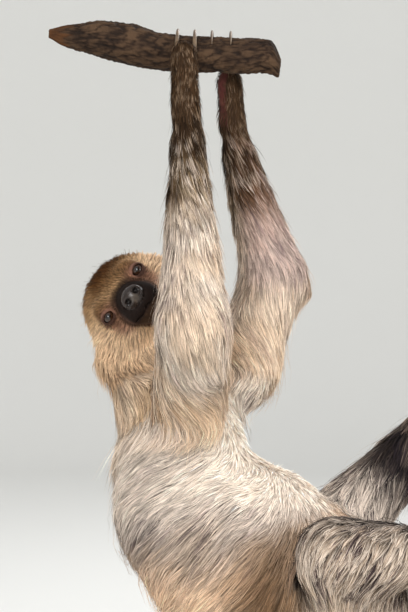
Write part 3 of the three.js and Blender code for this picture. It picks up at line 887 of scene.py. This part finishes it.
def skin_material():
    n = Nodes("skin")
    wet = n.carried("wet")
    n.set(Base_Color=n.painted(), Roughness=n.scaled(wet, -0.48, 0.7))
    n.set(Specular_IOR_Level=n.scaled(wet, 0.3, 0.1))
    height = n.add("ShaderNodeTexVoronoi", Vector=n.coordinates(), Scale=900.0, feature="DISTANCE_TO_EDGE")
    n.bump(height.outputs["Distance"], 0.35, 0.0006)
    return n.material


def eye_material():
    n = Nodes("eye")
    n.set(Base_Color=n.painted(), Roughness=0.15, Specular_IOR_Level=0.4)
    n.set(Coat_Weight=0.5, Coat_Roughness=0.03)
    return n.material


def claw_material():
    n = Nodes("claw")
    n.set(Base_Color=n.ramp(n.noise(220.0, 4.0), (0.3, 0.7), HORN), Roughness=0.38)
    n.bump(n.noise(700.0, 2.0), 0.2, 0.0004)
    return n.material


def bark_material():
    n = Nodes("bark")
    grain = n.noise(55.0, 6.0)
    both = n.add("ShaderNodeMath", operation="ADD")
    n.feed(both.inputs[0], n.scaled(n.carried("tone"), 0.55))
    n.feed(both.inputs[1], n.scaled(grain, 0.75, -0.12))
    bark = n.ramp(both.outputs[0], (0.15, 0.5, 0.9), BARK)
    colour = n.mixed(n.carried("bare"), bark, n.ramp(grain, (0.3, 0.7), WOOD))
    n.set(Base_Color=colour, Roughness=0.86, Specular_IOR_Level=0.2)
    n.bump(n.noise(260.0, 6.0), 0.7, 0.0015)
    return n.material


def steel_material():
    n = Nodes("steel")
    n.set(Base_Color=(*linear(STEEL), 1), Metallic=1.0, Roughness=0.32)
    n.bump(n.noise(900.0, 2.0), 0.08, 0.0002)
    return n.material


def board_material():
    n = Nodes("board")
    stretched = n.add("ShaderNodeMapping", Vector=n.coordinates(), Scale=(1.5, 14.0, 14.0))
    grain = n.noise(9.0, 8.0, stretched.outputs["Vector"])
    n.set(Base_Color=n.ramp(grain, (0.3, 0.5, 0.7), WALNUT), Roughness=0.42)
    n.bump(grain, 0.12, 0.0006)
    return n.material


def floor_material():
    n = Nodes("floor")
    n.set(Base_Color=(*linear(FLOOR), 1), Roughness=0.9, Specular_IOR_Level=0.1)
    return n.material


# ---- the coat

UNDER_SHARE = 0.3  # the tufts that lie below the others
STRAY_SHARE = 0.035  # the tufts that stick out
ROOT_DEPTH = 0.4 * MM  # how deep a root sits in the skin, and how far the rest of its tuft stays above it
LOCK_SIZE, LEG_LOCK_SIZE, CLUMP_SIZE = 0.17, 0.27, 0.055  # shares of the hair's length
LEAST_LOCK, LEAST_CLUMP = 3.0 * MM, 1.6 * MM


def part_ways():
    """The way the hair of each part runs, one row per part."""
    rows = []
    for part in PARTS.values():
        along = np.array(part.get("way", unit(part["b"] - part["a"])))
        rows.append(along + GRAVITY * part["hang"] + part.get("lean", 0))
    return np.array(rows)


PART_WAYS = part_ways()


def lie(p, normal, weights):
    """The way the hair lies on the skin at each point: a unit vector along the skin."""
    share = shares(weights)
    from_muzzle = unit((to_head(p) - (0, -60, -10)) * (1, 1, 1.15)) @ HEAD_AXES
    face = from_muzzle + GRAVITY * HEAD_COAT["hang"]
    way = weights[:, :-1] @ PART_WAYS + weights[:, -1:] * face
    for name in ("upper_arm_right", "upper_arm_left"):
        fringe = share[name] * smooth(0.35, 0.9, progress(p, name))
        way += fringe[:, None] * np.array([1.3, 0, 0.4])
    front = (share["chest"] + share["belly"]) * smooth(0.45, 0.95, normal @ BELLY_WAY)
    way += 0.8 * front[:, None] * TRUNK_AXIS
    ripple = 0.22 * drift(p, 40 * MM, 21, 2) + 0.16 * drift(p, 13 * MM, 26, 1)
    way += ripple * (1 - 0.6 * front[:, None])
    return unit(way - normal * (way * normal).sum(-1, keepdims=True))


def roots_on(points, normals, quads, uvs, density, rng):
    """Random places on the skin: position, normal and place on the skin's unwrap."""
    corner = points[quads]
    area = 0.5 * np.linalg.norm(np.cross(corner[:, 2] - corner[:, 0], corner[:, 3] - corner[:, 1]), axis=1)
    expected = area / MM**2 * density * TUFTS
    count = np.floor(expected + rng.random(len(quads))).astype(int)
    face = np.repeat(np.arange(len(quads)), count)
    s, t = rng.random((2, len(face), 1))

    def between(values):
        near, far = (values[:, i] * (1 - s) + values[:, j] * s for i, j in ((0, 1), (3, 2)))
        return near * (1 - t) + far * t

    return between(corner[face]), unit(between(normals[quads][face])), between(uvs[face])


def clumps(p, size, seed):
    """The number of the clump that each place belongs to, in clumps of about that size."""
    step = np.round(np.log(size / MM) / math.log(1.4)).astype(np.int64)
    snapped = MM * 1.4**step
    cell = np.floor(p / snapped[:, None] + drift(p, 22 * MM, seed, 2) * 0.8).astype(np.int64) + 512
    key = ((cell[:, 0] * 1024 + cell[:, 1]) * 1024 + cell[:, 2]) * 64 + step
    return np.unique(key, return_inverse=True)[1]


def clump_mean(values, clump):
    total = np.bincount(clump).astype(float)
    return np.stack([np.bincount(clump, column) / total for column in values.T], axis=1)[clump]


def dressed(root, normal, weights):
    """The length and the depth of the coat at each root, in metres, and how far it stands off."""
    share = shares(weights)
    length, coat, stand = (blended(weights, key) for key in ("length", "coat", "stand"))
    for name, part in PARTS.items():
        if "tail" in part:
            tail = share[name] * smooth(0.4, 0.95, progress(root, name))
            length *= 1 + part["tail"] * tail
            coat *= 1 + 0.8 * tail
            stand += 0.7 * tail * smooth(0.3, 0.9, normal[:, 0])
    # short in front and long behind, with a mane over the shoulders
    facing = normal @ BELLY_WAY
    trunk = total_share(share, TRUNK)
    behind = smooth(0.2, -0.5, facing)
    nape = share["neck"] * smooth(0.45, 0.9, progress(root, "neck")) * behind
    mane = share["chest"] * smooth(0.3, 0.0, progress(root, "chest")) * behind
    length *= 1 - 0.7 * trunk * smooth(0.1, 0.85, facing) + 0.35 * trunk * smooth(0.1, -0.8, facing)
    length *= (1 - 0.35 * nape) * (1 + 0.35 * mane)
    coat *= (1 - 0.6 * nape) * (1 + 1.5 * mane)
    stand = (stand + 0.9 * mane) * (1 - 0.4 * trunk * smooth(0.2, 0.8, facing))
    # short on the face, with a ruff below the cheeks
    x, y, z = to_head(root).T
    head = share["head"]
    outside = smooth(16, 34, np.abs(x))
    ruff = smooth(0.25, 0.6, head) * outside * smooth(16, -6, z)
    length *= 1 - head * (0.68 * smooth(6, -34, y) - 0.2 * outside * smooth(14, -8, z))
    coat *= (1 + 1.1 * ruff) * (1 - 0.6 * smooth(0.02, 0.3, head) * smooth(0.7, 0.45, head))
    coat *= 1 - 0.6 * head * smooth(4, -34, y)
    return length * MM, coat * MM, stand + 0.4 * ruff


def grow(root, normal, weights, length, coat, stand, locks, rng):
    """The centre line of each tuft, from its root along the lie of the coat, and which tufts are strays."""
    n = len(root)
    under = locks["under"]
    stray = (rng.random(n) < STRAY_SHARE) & ~under
    length = length * rng.uniform(0.65, 1.2, n) * np.where(under, 0.6, 1) * np.where(stray, 1.25, 1)
    stand = stand * rng.uniform(0.4, 1.6, n) + 0.25 * locks["lift"] + 0.35 * stray
    hang = blended(weights, "hang")
    height = coat * rng.uniform(0.5, 1.15, n) * np.where(under, 0.5, 1) * np.where(stray, 1.7, 1)
    wobble = unit(rng.normal(size=(n, 3)))
    here = root - normal * ROOT_DEPTH
    line = [here]
    along = normal
    for k in range(1, SPANS + 1):
        share = k / SPANS
        way = lie(here, along, in_chunks(part_weights, here))
        up = stand * (1.6 - 1.4 * share)
        step = unit(way + along * up[:, None] + wobble * 0.13 + GRAVITY * (0.3 * share * hang)[:, None])
        here = here + step * (length / SPANS)[:, None]
        along = SKIN.slope(here)
        level = SKIN(here)
        low = ROOT_DEPTH + 0.25 * height * share
        high = height * (0.3 + 0.8 * share) + 0.5 * coat * locks["lift"] * share**1.3
        here = here + along * (np.clip(level, low, high) - level)[:, None]
        line.append(here)
    return np.stack(line, axis=1), stray


def gathered(line, group, pull, power):
    """Draws the tufts of each group together towards their tips."""
    for k in range(1, SPANS + 1):
        centre = clump_mean(line[:, k], group)
        line[:, k] += (centre - line[:, k]) * (pull * (k / SPANS) ** power)[:, None]
    return line


def tuft_mesh(line, normal, width, rng):
    """Tapered ribbons along the centre lines: vertices and triangles."""
    n, rings, _ = line.shape
    way = unit(np.gradient(line, axis=1))
    side = unit(np.cross(way, normal[:, None]))
    up = np.cross(side, way)
    twist = rng.normal(0, 0.45, n)[:, None, None]
    side = side * np.cos(twist) + up * np.sin(twist)
    share = np.linspace(0, 1, rings)
    thick = (0.75 + 0.35 * np.sin(share * math.pi)) * (1 - share**2.2)
    offset = side * (width[:, None] * thick)[..., None] / 2
    pairs = np.stack([line - offset, line + offset], axis=2)[:, :-1].reshape(n, -1, 3)
    vertices = np.concatenate([pairs, line[:, -1:]], axis=1)
    faces = []
    for k in range(0, 2 * rings - 4, 2):
        faces += [(k, k + 1, k + 3), (k, k + 3, k + 2)]
    faces.append((2 * rings - 4, 2 * rings - 3, 2 * rings - 2))
    triangles = (np.arange(n) * vertices.shape[1])[:, None, None] + np.array(faces)[None]
    return vertices, triangles


def tuft_colours(root, normal, weights, locks, rng):
    """A colour for each ring of each tuft, sRGB."""
    n = len(root)
    z = root[:, 2]
    share = shares(weights)
    lock_tone, clump_tone = (rng.normal(0, 1, locks[k].max() + 1)[locks[k]] for k in ("lock", "clump"))
    legs = sum(share[k] for k in PARTS if k.startswith(("thigh", "shin", "foot")))
    arms = sum(share[k] for k in PARTS if "arm" in k)
    fore = total_share(share, FOREARMS)
    wrist = sum(smooth(0.55, 0.25, progress(root, k)) * share[k] for k in FOREARMS)
    wrist += 0.4 * (share["hand_right"] + share["hand_left"])
    facing = normal @ BELLY_WAY
    front = total_share(share, TRUNK) * smooth(0.2, 0.8, facing)
    sides = smooth(0.75, 0.2, facing) * (1 - 0.6 * smooth(-0.1, -0.6, facing))
    low = smooth(WARM_BELOW, WARM_BELOW - 0.04, z) * (share["belly"] + share["rump"])
    # dark streaks, most of all on the legs and in a band above the lower back
    band = np.exp(-(((z - WARM_BELOW - 0.022) / 0.028) ** 2))
    flank = 0.34 * share["chest"] + 0.1 * share["rump"]
    flank += (0.55 + 0.4 * band) * share["belly"] * (1 - 0.75 * low)
    amount = 0.95 * legs + 0.35 * (arms + fore) + 0.25 * share["head"] + 0.4 * share["neck"] + flank * sides
    pattern = 0.6 * waves(root, 30 * MM, 31) + 0.55 * lock_tone + 0.4 * clump_tone
    pattern += 0.25 * rng.normal(0, 1, n)
    streak = smooth(0.4 + 0.05 * legs, 1.5 - 0.5 * legs, pattern)
    base = paint(root, to_head(root), normal, weights)
    base = mix(base, base * STREAK + STREAK_FLOOR, streak * amount)
    # flecks at the wrists
    mottle = waves(root * (1, 1, 1.8), 10 * MM, 57, 2) + 0.4 * clump_tone + 0.3 * lock_tone
    mottle = smooth(0.1, 1.0, mottle)
    base = mix(base, base * FLECK, wrist * (1 - mottle))
    # painted shade, darker at the edges of the locks, under them and at the roots; less so in front, on the
    # lower back and on the upper arms, more on the legs
    tone = 1 + 0.05 * lock_tone + 0.06 * clump_tone + 0.05 * rng.normal(0, 1, n)
    tone *= 1 - 0.2 * (1 - 0.7 * front) * smooth(0.25, 0.65, locks["edge"])
    tone *= np.where(locks["under"], 0.8 + 0.12 * front - 0.25 * legs, 1)
    steps = np.linspace(0, 1, SPANS + 1)
    root_shade = 0.62 + 0.3 * front + 0.16 * low * (1 - front) + 0.1 * arms * (1 - fore) - 0.2 * legs
    shade = root_shade[:, None] + (1.07 - root_shade[:, None]) * smooth(0, 0.6, steps)
    colour = base[:, None] * tone[:, None, None] * shade[..., None]
    # pale tips
    pale = (legs * 0.75 + 0.1 * share["belly"] + arms * 0.2) * (rng.random(n) < 0.6)
    pale = pale * smooth(0.25, 0.5, base.mean(-1)) + 0.65 * wrist * mottle
    return np.clip(mix(colour, CREAM, pale[:, None] * smooth(0.15, 0.8, steps)), 0, 1)


def coat_piece(name, line, normal, width, colours, uv, rng):
    vertices, triangles = tuft_mesh(line, normal, width, rng)
    n, per_tuft, _ = vertices.shape
    obj = make_mesh(name, vertices.reshape(-1, 3), triangles.reshape(-1, 3))
    ring_of = np.arange(per_tuft) // 2
    vertex_colour(obj, colours[:, ring_of].reshape(-1, 3))
    # The tufts are shaded mostly like the body they lie on.
    ribbon = read(obj.data.vertices, "normal").reshape(n, per_tuft, 3)
    body = SKIN.slope(vertices)
    ribbon = ribbon * np.sign((ribbon * body).sum(-1, keepdims=True) + 1e-9)
    shaded = unit(body + 0.8 * ribbon)
    obj.data.normals_split_custom_set_from_vertices(shaded.reshape(-1, 3).astype(np.float32))
    u = np.where(np.arange(per_tuft) % 2 == 0, -UV_SPREAD, UV_SPREAD) * (1 - ring_of / SPANS)
    v = (ring_of / SPANS * 2 - 1) * UV_SPREAD
    patch = uv[:, None] + np.stack([u, v], axis=-1)[None]
    layer = obj.data.uv_layers.new(name="OFBake")
    layer.data.foreach_set("uv", patch.reshape(-1, 2)[triangles.reshape(-1)].astype(np.float32).ravel())
    place(obj, COAT_MATERIAL, "coat")


def grow_coat(name, density, seed):
    """Grows tufts where the density per quad says, in as many pieces as their triangles need."""
    rng = np.random.default_rng(seed)
    root, normal, uv = roots_on(skin_points, skin_normals, skin_quads, skin_uvs, density, rng)
    n = len(root)
    weights = in_chunks(part_weights, root)
    length, coat, stand = dressed(root, normal, weights)
    share = shares(weights)
    legs = sum(share[k] for k in PARTS if k.startswith(("thigh", "shin")))
    size = np.maximum(length * (LOCK_SIZE + (LEG_LOCK_SIZE - LOCK_SIZE) * legs), LEAST_LOCK)
    lock = clumps(root, size, seed)
    clump = clumps(root, np.maximum(length * CLUMP_SIZE, LEAST_CLUMP), seed + 5)
    locks = {
        "lock": lock,
        "clump": clump,
        "edge": np.linalg.norm(root - clump_mean(root, lock), axis=1) / size,
        "lift": (rng.random(lock.max() + 1) ** 2)[lock],
        "under": rng.random(n) < UNDER_SHARE,
    }
    line, stray = grow(root, normal, weights, length, coat, stand, locks, rng)
    loose = np.where(locks["under"] | stray, 0.3, 1)
    line = gathered(line, clump, rng.uniform(0.25, 0.75, clump.max() + 1)[clump] * loose, 1.0)
    line = gathered(line, lock, (rng.uniform(0.3, 0.9, lock.max() + 1)[lock] + 0.2 * legs) * loose, 1.4)
    width = blended(weights, "width") * MM * rng.uniform(0.65, 1.15, n) * np.where(stray, 0.6, 1)
    width *= 1 - 0.3 * share["head"] * smooth(0, -34, to_head(root)[:, 1])
    colours = tuft_colours(root, normal, weights, locks, rng)
    pieces = math.ceil(n * (2 * SPANS - 1) / PIECE_TRIANGLES)
    order = np.argsort(root[:, 2], kind="stable")
    for i, chosen in enumerate(np.array_split(order, pieces)):
        tufts = [values[chosen] for values in (line, normal, width, colours, uv)]
        coat_piece(f"{name}_{i + 1}", *tufts, rng)


# ---- build: skin and coat


def unwrap(obj):
    """The unwrap of an object of quads, as a place for each corner of each face."""
    bpy.context.view_layer.objects.active = obj
    obj.select_set(True)
    bpy.ops.object.mode_set(mode="EDIT")
    bpy.ops.mesh.select_all(action="SELECT")
    bpy.ops.uv.smart_project(angle_limit=math.radians(66), island_margin=0.001)
    bpy.ops.object.mode_set(mode="OBJECT")
    obj.select_set(False)
    return read(obj.data.uv_layers.active.data, "uv", 2).reshape(-1, 4, 2)


BODY_SKIN, SKIN = skin_fields(body_field())
skin_points, skin_quads = skin_surface(BODY_SKIN)
skin = make_mesh("skin", skin_points, skin_quads)
skin_uvs = unwrap(skin)
skin_normals = read(skin.data.vertices, "normal").astype(float)
skin_colour, wet = skin_paint(skin_points, skin_normals)
vertex_colour(skin, skin_colour)
vertex_value(skin, "wet", wet)
place(skin, skin_material(), "skin", *FLESH)

COAT_MATERIAL = coat_material()
centres = skin_points[skin_quads].mean(1)
centre_normals = unit(skin_normals[skin_quads].mean(1))
weights = in_chunks(part_weights, centres)
bare_paws = total_share(shares(weights), PALM_WAYS) * palm(centres, centre_normals)
naked = np.maximum(bare_face(to_head(centres)) * near_head(centres), bare_paws)
density = blended(weights, "density") * (1 - naked)
is_head = weights[:, -1] > 0.5
grow_coat("coat_head", np.where(is_head, density, 0), 11)
grow_coat("coat_body", np.where(is_head, 0, density), 12)


# ---- eyes


def make_eye(name):
    """A ball with a bulging cornea, drawn in rings round the way it looks."""
    side = 1 if name.endswith("left") else -1
    look = unit((EYE_OUT * (side, 1, 1)) @ HEAD_AXES)
    across = unit(np.cross(look, [0, 0, 1]))
    up = np.cross(across, look)
    rings, sides = 41, 56
    a = np.linspace(0, math.pi, rings)[:, None, None]
    b = 2 * math.pi * np.arange(sides)[:, None] / sides
    radius = (EYE_RADIUS - 0.25 + 0.5 * np.exp(-((a / 0.5) ** 2))) * MM
    vertices = middle(name) + radius * (np.cos(a) * look + np.sin(a) * (np.cos(b) * across + np.sin(b) * up))
    quads = ring_quads(rings, sides)[:, ::-1]
    obj = make_mesh(name.replace("eye", "eyeball"), vertices.reshape(-1, 3), quads)
    angle = np.repeat(a.ravel(), sides)
    iris = mix(PUPIL, IRIS, smooth(0.30, 0.42, angle))
    vertex_colour(obj, mix(iris, EYE_BACK, smooth(0.75, 0.95, angle)))
    place(obj, eye_material(), "eye", name)


for name in ("eye_right", "eye_left"):
    make_eye(name)


# ---- claws


def make_claw(name, material):
    """The node's own mesh, rounded."""
    obj = bpy.data.objects.new(name.replace("_claw", "_horn"), NODES[name].data.copy())
    bpy.context.scene.collection.objects.link(obj)
    obj.data.materials.clear()
    bpy.context.view_layer.objects.active = obj
    obj.modifiers.new("weld", "WELD").merge_threshold = 0.05 * MM
    obj.modifiers.new("smooth", "SUBSURF").levels = 2
    for modifier in ("weld", "smooth"):
        bpy.ops.object.modifier_apply(modifier=modifier)
    obj.data.polygons.foreach_set("use_smooth", np.ones(len(obj.data.polygons), bool))
    place(obj, material, "claw", name)


CLAW_MATERIAL = claw_material()
for name in NODES:
    if "_claw_" in name:
        make_claw(name, CLAW_MATERIAL)


# ---- branches


def sections(name, way, count):
    """The middle and the radius of a long node where planes square to its length cut it."""
    points, triangles = node_mesh(name)
    points = points.astype(float)
    edges = np.concatenate([triangles[:, [0, 1]], triangles[:, [1, 2]], triangles[:, [2, 0]]])
    a, b = points[edges[:, 0]], points[edges[:, 1]]
    at_a, at_b = a @ way, b @ way
    places = np.linspace((points @ way).min() + 0.5 * MM, (points @ way).max() - 0.5 * MM, count)
    middles, radii = [], []
    for x in places:
        crossed = (at_a < x) != (at_b < x)
        t = (x - at_a[crossed]) / (at_b[crossed] - at_a[crossed])
        ring = a[crossed] + t[:, None] * (b[crossed] - a[crossed])
        middles.append((ring.min(0) + ring.max(0)) / 2)
        radii.append(np.linalg.norm(ring - middles[-1], axis=1).mean())
    return places, np.array(middles), np.array(radii)


def bark_relief(xx, aa, base, seed, broken):
    """The radius of a branch round its length, how light its bark is there and how bare the wood."""
    probe = np.stack([xx * 0.3, np.cos(aa) * 0.018, np.sin(aa) * 0.018], axis=-1)
    furrows = np.minimum(np.abs(waves(probe, 9 * MM, seed, 3)) * 2.2, 1)
    plates = np.minimum(np.abs(waves(probe * (1.2, 1.5, 1.5), 16 * MM, seed + 2, 2)) * 2.5, 1)
    rough = 1.1 * furrows + 0.8 * plates - 1.6 + 0.35 * waves(probe * (3, 1, 1), 4 * MM, seed + 1, 2)
    painted_sheen = xx + 8 * MM * waves(probe, 10 * MM, seed + 5, 3)
    bare = smooth(broken * 1.2, broken * 0.5, painted_sheen) if broken else 1.0 * (painted_sheen > 0)
    splinters = 1.8 * waves(probe * (0.5, 1, 1), 6 * MM, seed + 4, 2) - 0.9
    r = base[:, None] + (rough * (1 - bare) + splinters * bare) * MM * np.minimum(1, base / 0.012)[:, None]
    for share, angle, high in ((0.36, 2.1, 3.2), (0.83, -1.0, 2.4)):  # two knots
        knot = np.exp(-(((xx - share * xx.max()) / 0.011) ** 2)) * np.exp((np.cos(aa - angle) - 1) / 0.22)
        r += high * MM * knot * (1 - 0.5 * smooth(0.75, 1, knot))
    # a cut end has a rounded rim, a broken one has none
    from_end = np.minimum(xx + (1 if broken else 0), xx.max() - xx)
    r -= 1.4 * MM * np.exp(-from_end / (1.4 * MM))
    return np.maximum(r, 0.8 * MM), 0.6 * furrows + 0.4 * plates, bare


def cut_end(rim, centre, way, seed):
    """The rings of a cut end from its rim inwards, how light they are and how bare."""
    shrink = np.array([0.93, 0.75, 0.5, 0.25, 0.03])[:, None]
    flat = np.ones((1, len(rim)))
    bare = flat * (shrink < 0.9)
    rings = centre + (rim - centre) * shrink[..., None]
    rings = rings + way * (0.5 * MM * waves(rings, 4 * MM, seed, 2) * bare)[..., None]
    return rings, flat * (0.5 + 0.3 * np.sin(shrink * 40)), bare


def make_branch(name, seed, broken, material):
    """A branch. Broken is how far its splintered, barkless first end reaches in, in metres. A branch with no
    broken end is peeled, with a little bark left at its first end.
    """
    points = node_mesh(name)[0].astype(float)
    way = np.linalg.svd(points - points.mean(0), full_matrices=False)[2][0]
    if way[0] + way[1] < 0:
        way = -way
    side = unit(np.cross(way, [0, 0, 1]))
    up = np.cross(side, way)
    places, middles, radii = sections(name, way, 30)
    steps, sides = 340, 96
    x = np.linspace(places[0] - 0.5 * MM, places[-1] + 0.5 * MM, steps)
    near = np.exp(-0.5 * ((x[:, None] - places) / (5 * MM)) ** 2)
    near /= near.sum(1, keepdims=True)
    mid = near @ middles
    mid += (x - mid @ way)[:, None] * way
    xx, aa = np.meshgrid(x - x[0], np.linspace(0, 2 * math.pi, sides, endpoint=False), indexing="ij")
    out = np.cos(aa)[..., None] * side + np.sin(aa)[..., None] * up
    r, tone, bare = bark_relief(xx, aa, near @ radii * 0.97, seed, broken)
    grid = mid[:, None] + r[..., None] * out
    first, last = (cut_end(grid[end], mid[end], way, seed + 7) for end in (0, -1))
    grid, tone, bare = (np.concatenate([a[::-1], b, c]) for a, b, c in zip(first, (grid, tone, bare), last))
    obj = make_mesh(f"{name}_bark", grid.reshape(-1, 3), ring_quads(len(grid), sides))
    vertex_value(obj, "tone", tone.ravel())
    vertex_value(obj, "bare", bare.ravel())
    place(obj, material, "bark", name)


BARK_MATERIAL = bark_material()
make_branch("branch", 41, 19 * MM, BARK_MATERIAL)
make_branch("foot_branch", 57, 0, BARK_MATERIAL)


# ---- stand


def make_rod(name, material):
    """A round rod that goes through a collar on the board."""
    low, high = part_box(name)
    radius = (high.x - low.x) / 2
    board_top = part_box("stand_base")[1].z
    profile = [
        (0.0, low.z),
        (radius * 0.9, low.z),
        (radius, low.z + 1 * MM),
        (radius, board_top),
        (radius * 2.1, board_top),
        (radius * 2.1, board_top + 3 * MM),
        (radius * 1.9, board_top + 4 * MM),
        (radius * 1.12, board_top + 5 * MM),
        (radius, board_top + 6.5 * MM),
        (radius, high.z - 1 * MM),
        (radius * 0.88, high.z),
        (0.0, high.z),
    ]
    obj = turned(f"{name}_bar", profile, (low + high) / 2, 48)
    obj.data.set_sharp_from_angle(angle=math.radians(35))
    place(obj, material, "steel", name)


STEEL_MATERIAL = steel_material()
for name in ("stand_rod_1", "stand_rod_2"):
    make_rod(name, STEEL_MATERIAL)

board = NODES["stand_base"]
board.data.materials.clear()
board.data.materials.append(board_material())


# ---- studio

LIGHT_SIZE = 1.2
LIGHT_AIM = (-0.1, 0, 0.4)


def make_backdrop():
    """A round floor that curves up into a low wall on every side."""
    curve = [(3.2 + math.sin(a), 1 - math.cos(a)) for a in np.linspace(0.1, math.pi / 2, 14)]
    obj = turned("floor", [(0.0, 0.0), (3.2, 0.0), *curve, (4.2, 2.6)], (-0.1, 0), 96)
    obj.data.materials.append(floor_material())


def area_light(name, spot, power):
    light = bpy.data.lights.new(name, "AREA")
    light.shape = "DISK"
    light.size = LIGHT_SIZE
    light.energy = power
    obj = bpy.data.objects.new(name, light)
    obj.location = spot
    obj.rotation_euler = (Vector(LIGHT_AIM) - Vector(spot)).to_track_quat("-Z", "Y").to_euler()
    bpy.context.scene.collection.objects.link(obj)


make_backdrop()
area_light("key", (-0.65, -2.6, 1.3), 49)
area_light("fill", (2.3, -1.8, 1.3), 40)
area_light("back", (0.9, 1.3, 1.7), 20)

world = bpy.data.worlds.new("studio")
world.use_nodes = True
world.node_tree.nodes["Background"].inputs["Color"].default_value = (1, 1, 1, 1)
world.node_tree.nodes["Background"].inputs["Strength"].default_value = 0.75
bpy.context.scene.world = world
bpy.context.scene.view_settings.view_transform = "Standard"

# The camera looks level along +Y, at the height of the middle of the picture.
CAMERA = dict(x=-0.140, distance=1.70, height=0.4493, view_height=0.5814)
camera = bpy.data.cameras.new("camera")
camera.sensor_fit = "VERTICAL"
camera.sensor_height = 24
camera.lens = camera.sensor_height * CAMERA["distance"] / CAMERA["view_height"]
camera_object = bpy.data.objects.new("camera", camera)
camera_object.location = (CAMERA["x"], -CAMERA["distance"], CAMERA["height"])
camera_object.rotation_euler = (math.pi / 2, 0, 0)
bpy.context.scene.collection.objects.link(camera_object)
bpy.context.scene.camera = camera_object
